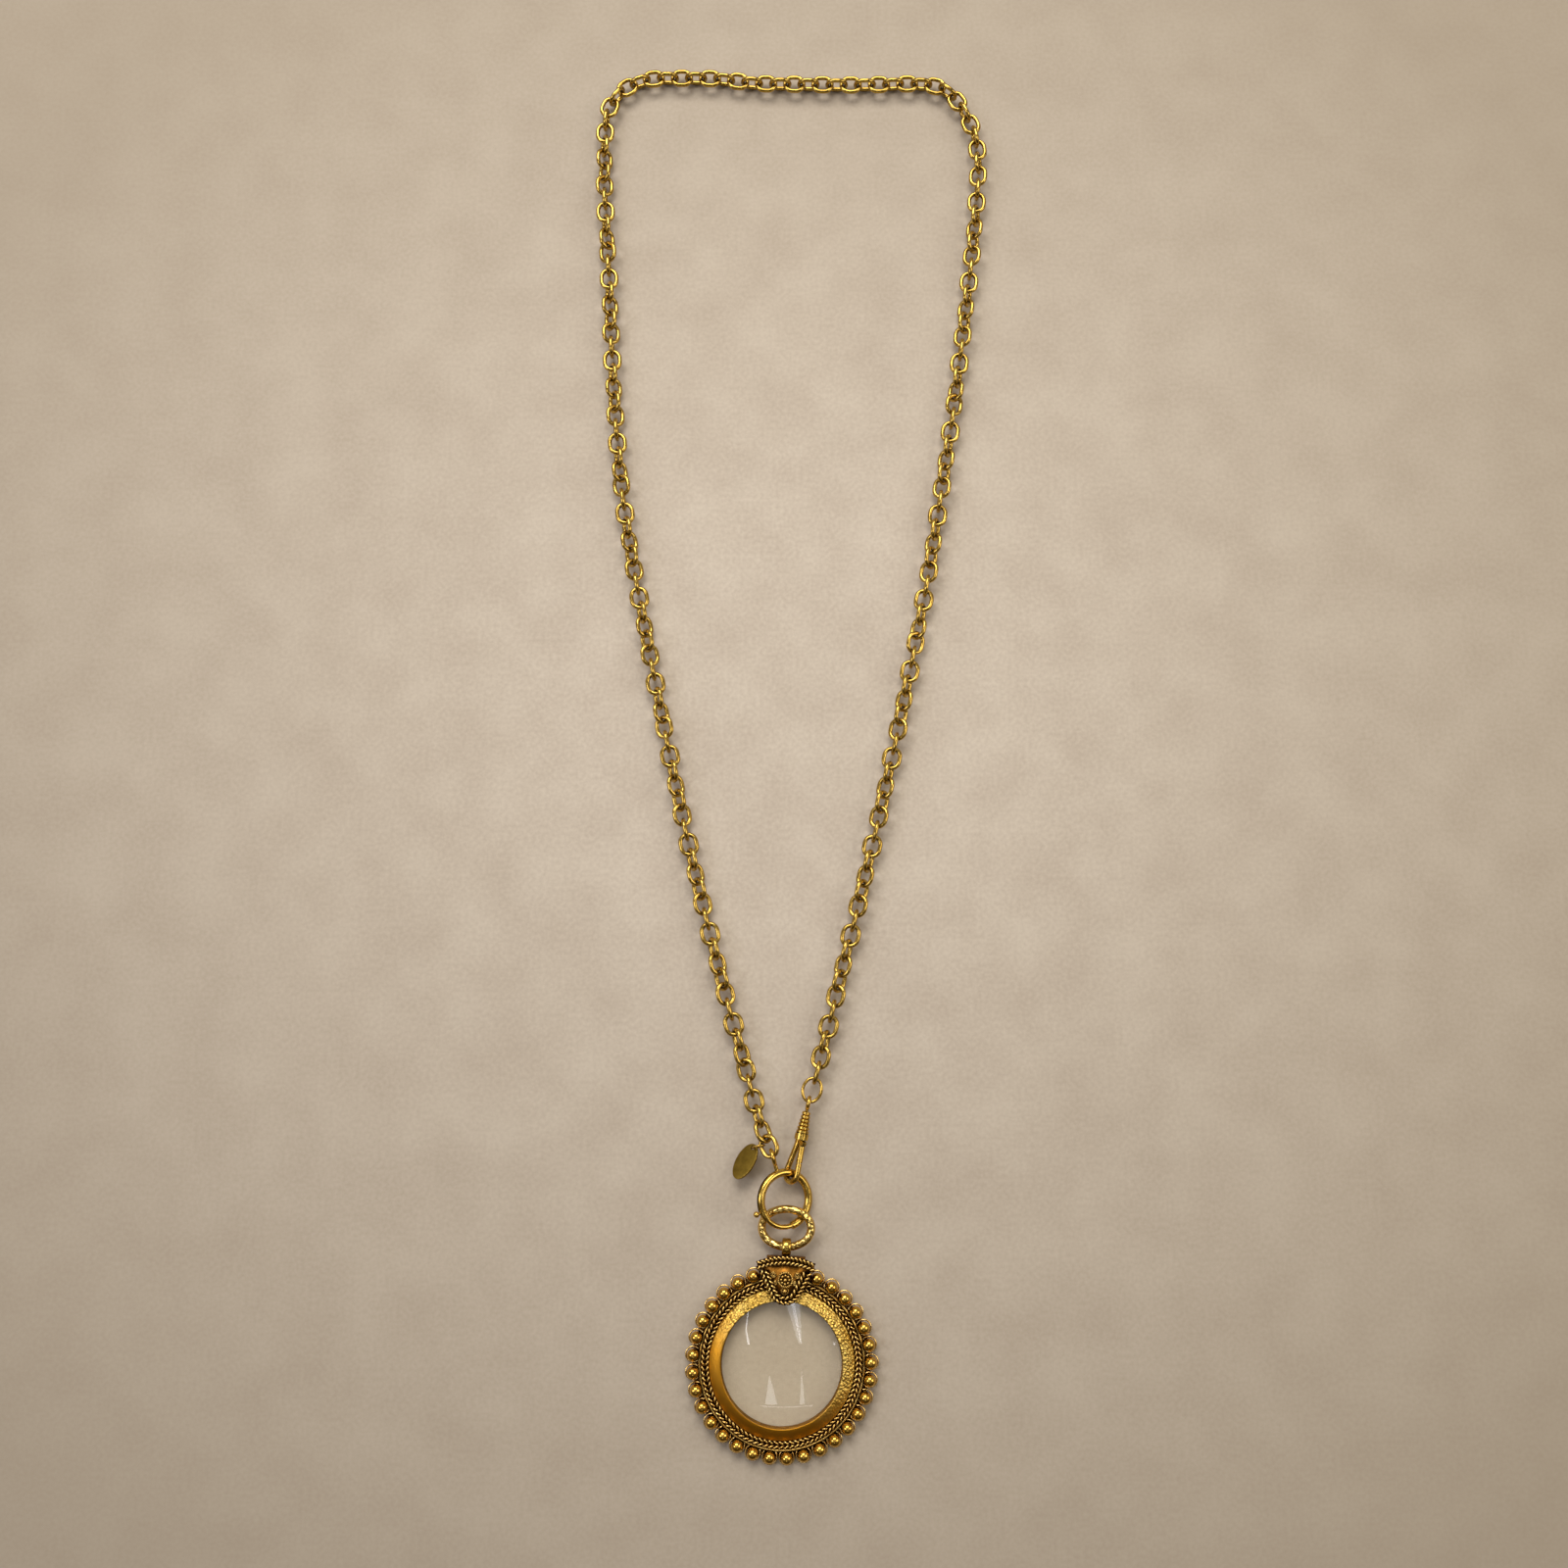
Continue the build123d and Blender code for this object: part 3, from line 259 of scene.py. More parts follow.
def hammered(material, cell_mm, depth_mm, strength):
    """Flats of a hammer or punch, over the grain that the finish already has."""
    tree = material.node_tree
    shader = tree.nodes["Principled BSDF"]
    where = add(tree, "ShaderNodeTexCoord").outputs["Object"]
    cells = add(tree, "ShaderNodeTexVoronoi", {"Vector": where, "Scale": 1 / (cell_mm * MM)},
                feature="F1")
    grain = shader.inputs["Normal"].links[0].from_socket
    bump = add(tree, "ShaderNodeBump", {"Height": cells.outputs["Distance"], "Normal": grain,
                                        "Strength": strength, "Distance": depth_mm * MM},
               invert=True)
    tree.links.new(bump.outputs["Normal"], shader.inputs["Normal"])
    return bump


gilt_bezel = gilt("gilt bezel, struck and burnished, painted shade lower left", "#ecd07a", "#c8982e", "#4a2410",
                  roughness=0.4, tone_mm=5.0, corner_mm=0.5, grain_mm=0.4, grain=0.6, open_at=0.6)
struck = hammered(gilt_bezel, cell_mm=0.8, depth_mm=0.4, strength=1.0)
gilt_ring = gilt("gilt ring, hammered", "#f2d486", "#c29434", "#3a200c", roughness=0.16,
                 tone_mm=3.0, corner_mm=1.0, grain_mm=0.8, grain=0.15, open_at=0.85, shut_at=0.2)
hammered(gilt_ring, cell_mm=1.5, depth_mm=0.35, strength=0.9)
bronze_tag = gilt("bronze tag, worn", "#a88a3a", "#6f5a20", "#2c2410", roughness=0.38,
                  tone_mm=1.6, corner_mm=0.8, grain=0.5)

STRUCK_AND_LIT_WAY = (0.6, 0.8, 0)
SMOOTH_AND_SHADED_TO_MM, STRUCK_AND_LIT_FROM_MM = -8, 6
tree = gilt_bezel.node_tree
where = add(tree, "ShaderNodeTexCoord").outputs["Object"]
apart = add(tree, "ShaderNodeVectorMath", {0: where, 1: centre}, operation="SUBTRACT")
across = add(tree, "ShaderNodeVectorMath", {0: apart.outputs[0], 1: STRUCK_AND_LIT_WAY},
             operation="DOT_PRODUCT")
side = ranged(tree, across.outputs["Value"], SMOOTH_AND_SHADED_TO_MM * MM, STRUCK_AND_LIT_FROM_MM * MM, 0.03)
tree.links.new(side, struck.inputs["Strength"])
# The lower left of the cone is painted amber shade; the upper right keeps its own golds.
paint_shade_under(gilt_bezel, side, "#c98c24")
print("bezel struck towards the upper right")

# %% [markdown]
# ## Optical glass
# The lens is clear crown glass, polished on both faces. Flat glass could be faked with a see-through
# surface, but a lens bends what lies behind it, so this one refracts truly. It casts no shadow of
# its own, because the light goes through it.

# %% Lens glass
lens_glass, _, shader = new_material("crown glass, polished")
# The faint grey of the glass is painted shade: it darkens the glass and all that shows through it.
shader.inputs["Base Color"].default_value = colour("#dedcd4")
shader.inputs["Transmission Weight"].default_value = 1
shader.inputs["Roughness"].default_value = 0.02
shader.inputs["IOR"].default_value = 1.52
print("glass index", shader.inputs["IOR"].default_value)

# %% [markdown]
# ## Finishing a piece
# One function moves each mesh to its place, smooths it, gives it its finish, and lets it ride with
# and stand for the nodes of the frame that it covers. Done by hand, one of these would be forgotten.

# %% Finishing a piece


def as_object(name, mesh, material, place=None):
    """An object of a mesh, in its place, smooth-shaded and with its material."""
    mesh.name = name
    if place:
        mesh.transform(place)
    for face in mesh.polygons:
        face.use_smooth = True
    if not mesh.materials:
        mesh.materials.append(material)
    piece = bpy.data.objects.new(name, mesh)
    bpy.context.scene.collection.objects.link(piece)
    return piece


def finish_piece(name, mesh, material, nodes, place=None, bend=None):
    """A finished piece, riding where the nodes that it covers ride, or, given bend, unattached with
    its place baked in.
    """
    piece = as_object(name, mesh, material, place)
    if bend:
        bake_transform(piece)
    else:
        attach(piece, frame["nodes"][nodes[0]]["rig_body"])
    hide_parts(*nodes)
    return piece


# %% [markdown]
# ## Trees that make meshes
# Twisted and repeated shapes are made by Geometry Nodes. A tree could stay on its object as a
# modifier, but here each is run once and its mesh kept, so that a piece can be moved, joined or
# hammered afterwards.

# %% Running a tree


def new_tree(name, **inputs):
    """A Geometry Nodes tree with a geometry in and out, and named inputs of the given kinds."""
    tree = bpy.data.node_groups.new(name, "GeometryNodeTree")
    tree.interface.new_socket("Geometry", in_out="OUTPUT", socket_type="NodeSocketGeometry")
    for key, kind in {"Geometry": "Geometry", **inputs}.items():
        tree.interface.new_socket(key, in_out="INPUT", socket_type="NodeSocket" + kind)
    return tree, add(tree, "NodeGroupInput").outputs


def close_tree(tree, geometry, finish):
    """Ends a tree: its copies are made real and take their material."""
    real = add(tree, "GeometryNodeRealizeInstances", {"Geometry": geometry})
    painted = add(tree, "GeometryNodeSetMaterial", {"Geometry": real.outputs[0], "Material": finish})
    add(tree, "NodeGroupOutput", {"Geometry": painted.outputs[0]})
    print(tree.name, "of", len(tree.nodes), "nodes")


def maths(tree, operation, *values, kind="ShaderNodeMath"):
    """The result of one operation on numbers."""
    return add(tree, kind, dict(enumerate(values)), operation=operation).outputs[0]


def vectors(tree, operation, *values):
    """The result of one operation on vectors."""
    return maths(tree, operation, *values, kind="ShaderNodeVectorMath")


def scaled(tree, vector, by):
    """A vector made longer or shorter."""
    return add(tree, "ShaderNodeVectorMath", {0: vector, "Scale": by}, operation="SCALE").outputs[0]


def tube(tree, curve, sides, wire):
    """A round wire of a given radius along a curve."""
    ring = add(tree, "GeometryNodeCurvePrimitiveCircle", {"Resolution": sides, "Radius": wire})
    return add(tree, "GeometryNodeCurveToMesh", {"Curve": curve, "Profile Curve": ring.outputs[0],
                                                 "Fill Caps": True}).outputs[0]


def baked(tree, source, **inputs):
    """The plain mesh that a tree makes of its source, with its named inputs set."""
    holder = bpy.data.objects.new("holder", source)
    bpy.context.scene.collection.objects.link(holder)
    modifier = holder.modifiers.new("tree", "NODES")
    modifier.node_group = tree
    for item in tree.interface.items_tree:
        if item.in_out == "INPUT" and item.name in inputs:
            modifier[item.identifier] = inputs[item.name]
    bpy.context.view_layer.update()
    evaluated = holder.evaluated_get(bpy.context.evaluated_depsgraph_get())
    mesh = bpy.data.meshes.new_from_object(evaluated)
    bpy.data.objects.remove(holder)
    return mesh


print("tree helpers ready")

# %% [markdown]
# ## Twisted wire
# The braid, the crest's borders and the two bows are wires twisted in pairs, as goldsmiths make rope
# wire. A screw modifier makes a straight rope, which has to be bent afterwards. This tree takes
# any path instead, doubles it, and swings each copy round it by an angle that grows along the way.

# %% The twisted wire tree
rope_tree, given = new_tree("twisted wire", Strands="Int", Turns="Float", Steps="Int", Wire="Float",
                            Reach="Float", Finish="Material")
even = add(rope_tree, "GeometryNodeResampleCurve", {"Curve": given["Geometry"],
                                                    "Count": given["Steps"]})
upright = add(rope_tree, "GeometryNodeSetCurveNormal", {"Curve": even.outputs[0]}, mode="Z_UP")
copies = add(rope_tree, "GeometryNodeDuplicateElements", {"Geometry": upright.outputs[0],
                                                          "Amount": given["Strands"]},
             domain="SPLINE")
along = add(rope_tree, "GeometryNodeSplineParameter").outputs["Factor"]
turned = maths(rope_tree, "MULTIPLY", along, given["Turns"])
share = maths(rope_tree, "DIVIDE", copies.outputs["Duplicate Index"], given["Strands"])
angle = maths(rope_tree, "MULTIPLY", maths(rope_tree, "ADD", turned, share), math.tau)
normal = add(rope_tree, "GeometryNodeInputNormal").outputs["Normal"]
tangent = add(rope_tree, "GeometryNodeInputTangent").outputs["Tangent"]
third = vectors(rope_tree, "CROSS_PRODUCT", tangent, normal)
out_part = scaled(rope_tree, normal, maths(rope_tree, "COSINE", angle))
up_part = scaled(rope_tree, third, maths(rope_tree, "SINE", angle))
both = vectors(rope_tree, "ADD", out_part, up_part)
offset = scaled(rope_tree, both, given["Reach"])
swung = add(rope_tree, "GeometryNodeSetPosition", {"Geometry": copies.outputs["Geometry"],
                                                   "Offset": offset})
lift = add(rope_tree, "ShaderNodeSeparateXYZ", {"Vector": both}).outputs["Z"]
marked = add(rope_tree, "GeometryNodeStoreNamedAttribute", {"Geometry": swung.outputs[0],
                                                            "Name": "lift", "Value": lift},
             data_type="FLOAT", domain="POINT")
close_tree(rope_tree, tube(rope_tree, marked.outputs[0], 8, given["Wire"]), given["Finish"])

# %% [markdown]
# ## Paths for the wires
# A path is a plain curve through points in millimetres. A full circle is closed, a border or a bow
# is open. Bezier handles would need fewer points, but arcs worked out in steps keep the measured
# radii exactly.

# %% Paths


def path(points, closed=False):
    """A curve of straight steps through points in millimetres."""
    curve = bpy.data.curves.new("path", "CURVE")
    curve.dimensions = "3D"
    spline = curve.splines.new("POLY")
    spline.points.add(len(points) - 1)
    for point, spot in zip(spline.points, points):
        point.co = (*spot, 1)
    spline.use_cyclic_u = closed
    return curve


def circle(radius, height, steps=180, start=0, sweep=360):
    """Points on a circle or an arc about the zero point, in degrees."""
    count = steps if sweep == 360 else steps + 1
    angles = [math.radians(start + sweep * i / steps) for i in range(count)]
    return [(radius * math.cos(a), radius * math.sin(a), height) for a in angles]


def twisted(curve, turns, steps, wire, reach, finish=gilt_wire, strands=2):
    """The mesh of a rope along a curve."""
    return baked(rope_tree, curve, Strands=strands, Turns=float(turns), Steps=steps, Wire=wire,
                 Reach=reach, Finish=finish)


def plain_wire(curve, steps, wire, finish=gilt_wire):
    """The mesh of one wire along a curve: the rope's tree with one strand and no swing."""
    return twisted(curve, 0, steps, wire, 0.0, finish, strands=1)


print("points on a full circle", len(circle(1, 0)))

# %% [markdown]
# ## The braid and its rim wire
# Round the bezel lie two ropes twisted opposite ways, which read as a herringbone, and one thin wire
# that holds them in. Flat ribbon with a herringbone picture would lack the bright crossings, so the
# ropes are real wires. Their twist is drawn a little coarser than life, so that it can be seen.

# %% The braid and its rim wire
BED_TOP = 1.7
BRAID_WIRE = 0.56
RIM_WIRE = 0.32
for label, radius, turns in (("inner", 20.9, 46), ("outer", 22.06, -48)):
    ring = path(circle(radius, BED_TOP + BRAID_WIRE), closed=True)
    mesh = twisted(ring, turns, abs(turns) * 20, 0.26, 0.3, gilt_rope)
    finish_piece(f"braid_{label}", mesh, gilt_rope, [f"braid_{label}_wire"], pendant_place)
    print("braid", label, len(mesh.polygons), "faces")

ring = path(circle(22.98, BED_TOP + RIM_WIRE), closed=True)
mesh = plain_wire(ring, 240, RIM_WIRE)
finish_piece("rim_wire_drawn", mesh, gilt_wire, ["rim_wire"], pendant_place)
print("rim wire", len(mesh.polygons), "faces")

# %% [markdown]
# ## Turned pieces
# The back plate, the bezel and the lens are round, and were turned or ground. Each is a profile,
# given as radius and height, carried round the axis in fine steps. A screw modifier could do that
# too, but a short function also closes the lens's poles. The seat keeps the frame's own shape.

# %% The lathe


def finished_mesh(work):
    """A mesh from what was built in a bmesh."""
    mesh = bpy.data.meshes.new("built")
    work.to_mesh(mesh)
    work.free()
    return mesh


def lathe(profile, steps=256, closed=True):
    """A mesh turned from a profile in millimetres; a point on the axis closes to a pole."""
    work = bmesh.new()
    rings = []
    for radius, height in profile:
        if radius == 0:
            rings.append([work.verts.new((0, 0, height))] * steps)
        else:
            rings.append([work.verts.new(spot) for spot in circle(radius, height, steps)])
    for low, high in zip(rings, rings[1:] + rings[:1] if closed else rings[1:]):
        for i in range(steps):
            j = (i + 1) % steps
            corners = list(dict.fromkeys([low[i], low[j], high[j], high[i]]))
            if len(corners) > 2:
                work.faces.new(corners)
    bmesh.ops.recalc_face_normals(work, faces=work.faces)
    return finished_mesh(work)


def eased(profile, cut):
    """The profile with each corner cut by a small amount, so that edges catch the light."""
    result = []
    for i, (radius, height) in enumerate(profile):
        here = Vector((radius, height))
        for other in (profile[i - 1], profile[(i + 1) % len(profile)]):
            way = Vector(other) - here
            result.append(tuple(here + way.normalized() * min(cut, way.length / 3)))
    return result


print("corners of an eased square", len(eased([(1, 0), (2, 0), (2, 1), (1, 1)], 0.1)))

# %% The turned plate and bezel
PLATE_TOP, PLATE_BORE, BED_OUTER = 1.0, 16.5, 23.4
BEAD_RING, BEZEL_OUTER = 24.95, 20.3
GROOVE_RADIUS, GROOVE_TOP, LIP_RADIUS, LIP_TOP = 18.15, 3.25, 17.05, 3.75

plate = eased([(PLATE_BORE, 0), (BEAD_RING, 0), (BEAD_RING, PLATE_TOP), (BED_OUTER, PLATE_TOP),
               (BED_OUTER, BED_TOP), (BEZEL_OUTER, BED_TOP), (BEZEL_OUTER, PLATE_TOP),
               (PLATE_BORE, PLATE_TOP)], 0.12)
finish_piece("plate_turned", lathe(plate), gilt_plate, ["back_plate"], pendant_place)
band = eased([(GROOVE_RADIUS, PLATE_TOP), (BEZEL_OUTER, PLATE_TOP), (BEZEL_OUTER, 2.7),
              (17.35, LIP_TOP), (LIP_RADIUS, LIP_TOP), (LIP_RADIUS, GROOVE_TOP),
              (GROOVE_RADIUS, GROOVE_TOP)], 0.1)
finish_piece("bezel_turned", lathe(band), gilt_bezel, ["bezel_band"], pendant_place)
seat = frame["nodes"]["lens_seat"].data
seat.materials.clear()
seat.materials.append(gilt_plate)
print("plate profile of", len(plate), "points, bezel of", len(band))

# %% [markdown]
# ## The lens
# Both faces are parts of spheres: the front rises 2.2 mm and the back 0.8 mm. Two caps cut from
# balls would meet in a ragged edge, so one profile runs from pole to pole and is turned at once.
# Its rings lie close together, to bend light without facets.

# %% The lens
LENS_RADIUS, CAP_RINGS = 17.98, 40


def cap_profile(rise, base, sign):
    """Points of a spherical cap from the lens's edge to its axis."""
    ball = (LENS_RADIUS**2 + rise**2) / (2 * rise)
    radii = [LENS_RADIUS * (1 - i / CAP_RINGS) for i in range(CAP_RINGS + 1)]
    return [(r, base + sign * (math.sqrt(ball**2 - r**2) - (ball - rise))) for r in radii]


front = cap_profile(2.2, 2.95, 1)
back = cap_profile(0.8, 1.5, -1)
lens_mesh = lathe(back[::-1] + front, 192, closed=False)
lens = finish_piece("lens_ground", lens_mesh, lens_glass, ["lens"], pendant_place)
lens.visible_shadow = False
print("lens", len(lens_mesh.polygons), "faces")

# %% [markdown]
# ## Beads and their loops
# Thirty soldered beads stand round the rim, each inside an open loop of thin wire. Thirty objects
# would be slow to change, so a tree sets points along an arc and places one copy of its bead or
# loop on each, turned to face outwards. Each is a few percent smaller and a little turned, with a
# fixed seed, because the real ones are uneven.

# %% The tree that sets copies round the rim
BEAD_COUNT = 30
BEAD_STEP = 10.97
FIRST_BEAD = 90 + (360 - BEAD_STEP * (BEAD_COUNT - 1)) / 2


def drawn(tree, least, most, seed):
    """A random number for each copy; inputs 2 and 3 are the least and the most of plain numbers."""
    return add(tree, "FunctionNodeRandomValue", {2: least, 3: most, "Seed": seed}).outputs[1]


round_tree, given = new_tree("copies round the rim", Count="Int", Step="Float", First="Float",
                             Ring="Float", Height="Float", Uneven="Float", Twist="Float",
                             Seed="Int", Finish="Material")
dots = add(round_tree, "GeometryNodePoints", {"Count": given["Count"]})
index = add(round_tree, "GeometryNodeInputIndex").outputs[0]
angle = maths(round_tree, "MULTIPLY_ADD", index, given["Step"], given["First"])
flat = add(round_tree, "ShaderNodeCombineXYZ", {"X": maths(round_tree, "COSINE", angle),
                                                "Y": maths(round_tree, "SINE", angle)})
raised = add(round_tree, "ShaderNodeCombineXYZ", {"Z": given["Height"]})
wide = scaled(round_tree, flat.outputs[0], given["Ring"])
spot = vectors(round_tree, "ADD", wide, raised.outputs[0])
set_out = add(round_tree, "GeometryNodeSetPosition", {"Geometry": dots.outputs[0], "Position": spot})
size = drawn(round_tree, maths(round_tree, "SUBTRACT", 1.0, given["Uneven"]), 1.0, given["Seed"])
back_turn = maths(round_tree, "MULTIPLY", given["Twist"], -1.0)
wobble = drawn(round_tree, back_turn, given["Twist"], given["Seed"])
facing = add(round_tree, "ShaderNodeCombineXYZ", {"Z": maths(round_tree, "ADD", angle, wobble)})
placed = add(round_tree, "GeometryNodeInstanceOnPoints", {"Points": set_out.outputs[0],
                                                          "Instance": given["Geometry"],
                                                          "Rotation": facing.outputs[0],
                                                          "Scale": size})
close_tree(round_tree, placed.outputs[0], given["Finish"])

# %% The beads and the loops
FOOT_FROM, FOOT_SPREAD = -0.7, 1.12
BEAD_RADIUS, LOOP_RADIUS, LOOP_OPENING = 1.72, 2.05, 96


def ball_mesh(radius, detail=3, spot=(0, 0, 0)):
    """A ball with a slightly flattened foot, where it sits in its solder."""
    work = bmesh.new()
    bmesh.ops.create_icosphere(work, subdivisions=detail, radius=radius)
    for vert in work.verts:
        if vert.co.z < FOOT_FROM * radius:
            vert.co.x *= FOOT_SPREAD
            vert.co.y *= FOOT_SPREAD
    mesh = finished_mesh(work)
    mesh.transform(Matrix.Translation(spot))
    return mesh


around = {"Count": BEAD_COUNT, "Step": math.radians(BEAD_STEP), "First": math.radians(FIRST_BEAD),
          "Ring": BEAD_RING}
mesh = baked(round_tree, ball_mesh(BEAD_RADIUS, 4), Height=2.72, Uneven=0.04, Twist=0.1, Seed=3,
             Finish=gilt_bead, **around)
finish_piece("beads_soldered", mesh, gilt_bead, ["beads"], pendant_place)
print("beads", len(mesh.polygons), "faces")

loop_arc = circle(LOOP_RADIUS, 0, 40, LOOP_OPENING / 2 - 180, 360 - LOOP_OPENING)
mesh = baked(round_tree, plain_wire(path(loop_arc), 40, 0.25, gilt_loop_painted_lighter), Height=1.27, Uneven=0.02,
             Twist=0.06, Seed=8, Finish=gilt_loop_painted_lighter, **around)
finish_piece("loops_bent", mesh, gilt_loop_painted_lighter, ["bead_loops"], pendant_place)
print("loops", len(mesh.polygons), "faces")

# %% [markdown]
# ## The crest's plate
# The shield and the bow above it are one flat sheet on a block that holds it off the back. Sheet
# is sawn out along a line, so its outline is drawn once as points and thickened, which keeps both
# sides alike. A bevel rounds its edges.

# %% The crest's plate
CREST_FOOT, CREST_TOP = 3.85, 4.45
SHIELD_TOP, FOOT_CENTRE, FOOT_REACH = 25.3, 21.0, -26.97
OUTER_SHIELD, INNER_SHIELD = (6.9, 4.2), (5.4, 2.86)
BOW_RADIUS, BOW_HALF, BOW_CREST, BOW_STEP = 19.16, 24.68, 27.6, 1.4
SHOULDER, SHOULDER_LOW, SHOULDER_HIGH = 8.0, 25.54, 27.25
gilt_field = gilt("gilt sheet, tarnished between the wires", "#a8762c", "#6e4218", "#2c1008",
                  roughness=0.4, tone_mm=1.5, corner_mm=0.7, grain_mm=0.4, grain=0.5)


def shield(top_x, radius):
    """Half ring and two straight sides of the shield, from its left top to its right top."""
    foot = circle(radius, 0, 24, 180 - FOOT_REACH, 180 + 2 * FOOT_REACH)
    sides = [(x, y + FOOT_CENTRE, 0) for x, y, z in foot]
    return [(-top_x, SHIELD_TOP, 0)] + sides + [(top_x, SHIELD_TOP, 0)]


def bow(step):
    """The arc above the shield, from right to left."""
    lift = BOW_CREST - BOW_RADIUS + BOW_STEP * step
    arc = circle(BOW_RADIUS, 0, 36, 90 - BOW_HALF, 2 * BOW_HALF)
    return [(x, y + lift, 0) for x, y, z in arc]


def oblong(half_width, low, high):
    """The outline of a rectangle that stands across the pendant's middle line."""
    low_side = [(-half_width, low, 0), (half_width, low, 0)]
    return low_side + [(half_width, high, 0), (-half_width, high, 0)]


def sheet_metal(outline, low, high, bevel):
    """A flat sheet between two heights with rounded edges, from an outline in millimetres."""
    work = bmesh.new()
    face = work.faces.new([work.verts.new((x, y, low)) for x, y, z in outline])
    grown = bmesh.ops.extrude_face_region(work, geom=[face])
    tops = [v for v in grown["geom"] if isinstance(v, bmesh.types.BMVert)]
    bmesh.ops.translate(work, vec=(0, 0, high - low), verts=tops)
    bmesh.ops.recalc_face_normals(work, faces=work.faces)
    edges = [e for e in work.edges if abs(e.verts[0].co.z - e.verts[1].co.z) < 1e-6]
    bmesh.ops.bevel(work, geom=edges, offset=bevel, segments=2, affect="EDGES")
    bmesh.ops.triangulate(work, faces=work.faces)
    return finished_mesh(work)


def joined(meshes):
    """Several meshes as one."""
    work = bmesh.new()
    for part in meshes:
        work.from_mesh(part)
    return finished_mesh(work)


right_shoulder = [(SHOULDER, SHOULDER_LOW, 0), (SHOULDER, SHOULDER_HIGH, 0)]
left_shoulder = [(-SHOULDER, SHOULDER_HIGH, 0), (-SHOULDER, SHOULDER_LOW, 0)]
outline = shield(*OUTER_SHIELD) + right_shoulder + bow(1)[1:-1] + left_shoulder
sheet = sheet_metal(outline, CREST_FOOT, CREST_TOP, 0.08)
block = sheet_metal(oblong(5.4, 23.5, 29.1), PLATE_TOP, CREST_FOOT, 0.1)
finish_piece("crest_sheet", joined([sheet, block]), gilt_field, ["crest_plate"],
             pendant_place)
print("crest outline", len(outline), "points")

# %% The crest's ropes
ROPE_RISE = 0.62


def rope(name, points, turns, node):
    """Twisted wire along points that lie on the crest's sheet."""
    curve = path([(x, y, CREST_TOP + ROPE_RISE) for x, y, z in points])
    mesh = twisted(curve, turns, abs(turns) * 24, 0.3, 0.33, gilt_rope)
    finish_piece(name, mesh, gilt_rope, [node], pendant_place)


rope("border_outer_twisted", shield(*OUTER_SHIELD), 9, "crest_border_outer")
rope("border_inner_twisted", shield(*INNER_SHIELD), -7, "crest_border_inner")
rope("bow_lower_twisted", bow(0), -7, "cap_rope_lower")
rope("bow_upper_twisted", bow(1), 7, "cap_rope_upper")
print("four ropes on the crest")

# %% [markdown]
# ## The flower and its scrolls
# The middle of the shield carries a plain granulated flower: a twisted ring, a round of small balls
# and a larger one. One more ball sits in its own ring below it, and thin wire scrolls fill the
# field. All are laid on the sheet one by one, as filigree workers solder them.

# %% The flower and its scrolls
FLOWER_Y, DROP_Y = 23.0, 20.0
EYE, GRAIN, DROP = 0.55, 0.4, 0.72
flower_place = Matrix.Translation((0, FLOWER_Y, CREST_TOP))

parts = [ball_mesh(EYE, spot=(0, 0, EYE))]
parts += [ball_mesh(GRAIN, spot=spot) for spot in circle(1.14, GRAIN, 8)]
parts.append(twisted(path(circle(1.95, 0.32, 60), True), 10, 140, 0.18, 0.14))
finish_piece("flower_soldered", joined(parts), gilt_wire, ["crest_rosette"],
             pendant_place @ flower_place)
drop = ball_mesh(DROP, 4, (0, DROP_Y, CREST_TOP + DROP))
drop_path = [(x, y + DROP_Y, CREST_TOP + 0.24) for x, y, z in circle(0.95, 0, 40)]
drop_ring = twisted(path(drop_path, True), 7, 98, 0.13, 0.11)
finish_piece("drop_soldered", joined([drop, drop_ring]), gilt_wire, ["crest_boss"],
             pendant_place)
print("flower of", len(parts), "pieces")

# %% The scrolls
SCROLL_TURNS, SCROLL_CLOSES, SCROLL_STEPS = 1.75, 0.8, 60


def scroll(side, x, y, size, start):
    """A flat spiral of thin wire."""
    points = []
    for i in range(SCROLL_STEPS + 1):
        share = i / SCROLL_STEPS
        a = math.radians(start) + share * SCROLL_TURNS * math.tau
        r = size * (1 - SCROLL_CLOSES * share)
        points.append((side * (x + r * math.cos(a)), y + r * math.sin(a), CREST_TOP + 0.2))
    return plain_wire(path(points), SCROLL_STEPS, 0.17)


scrolls = [scroll(side, *numbers) for side in (-1, 1)
           for numbers in ((3.35, 24.35, 0.85, 200), (2.75, 22.0, 0.6, 60))]
piece = as_object("scrolls_soldered", joined(scrolls), gilt_wire, pendant_place)
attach(piece, "pendant")
print("scrolls", len(scrolls))

# %% [markdown]
# ## The bail
# A short strap bent into a loop stands on the crest's top edge. It could be swept along a circle,
# but a turned band is the same shape, so it is turned like the other round pieces and laid on its
# side. A small neck joins it to the crest.

# %% The bail
BAIL_Y, BAIL_HEIGHT = 31.8, 3.5
BAIL_INNER, BAIL_OUTER, BAIL_HALF = 1.45, 2.4, 1.25
strap = lathe(eased([(BAIL_INNER, -BAIL_HALF), (BAIL_OUTER, -BAIL_HALF),
                     (BAIL_OUTER, BAIL_HALF), (BAIL_INNER, BAIL_HALF)], 0.28), 64)
laid = Matrix.Rotation(math.radians(90), 4, "Y")
strap.transform(Matrix.Translation((0, BAIL_Y, BAIL_HEIGHT)) @ laid)
neck = sheet_metal(oblong(1, 28.9, 29.9), 1.85, CREST_FOOT, 0.15)
finish_piece("bail_bent", joined([strap, neck]), gilt_clasp, ["bail_loop"], pendant_place)
print("bail at", BAIL_Y)

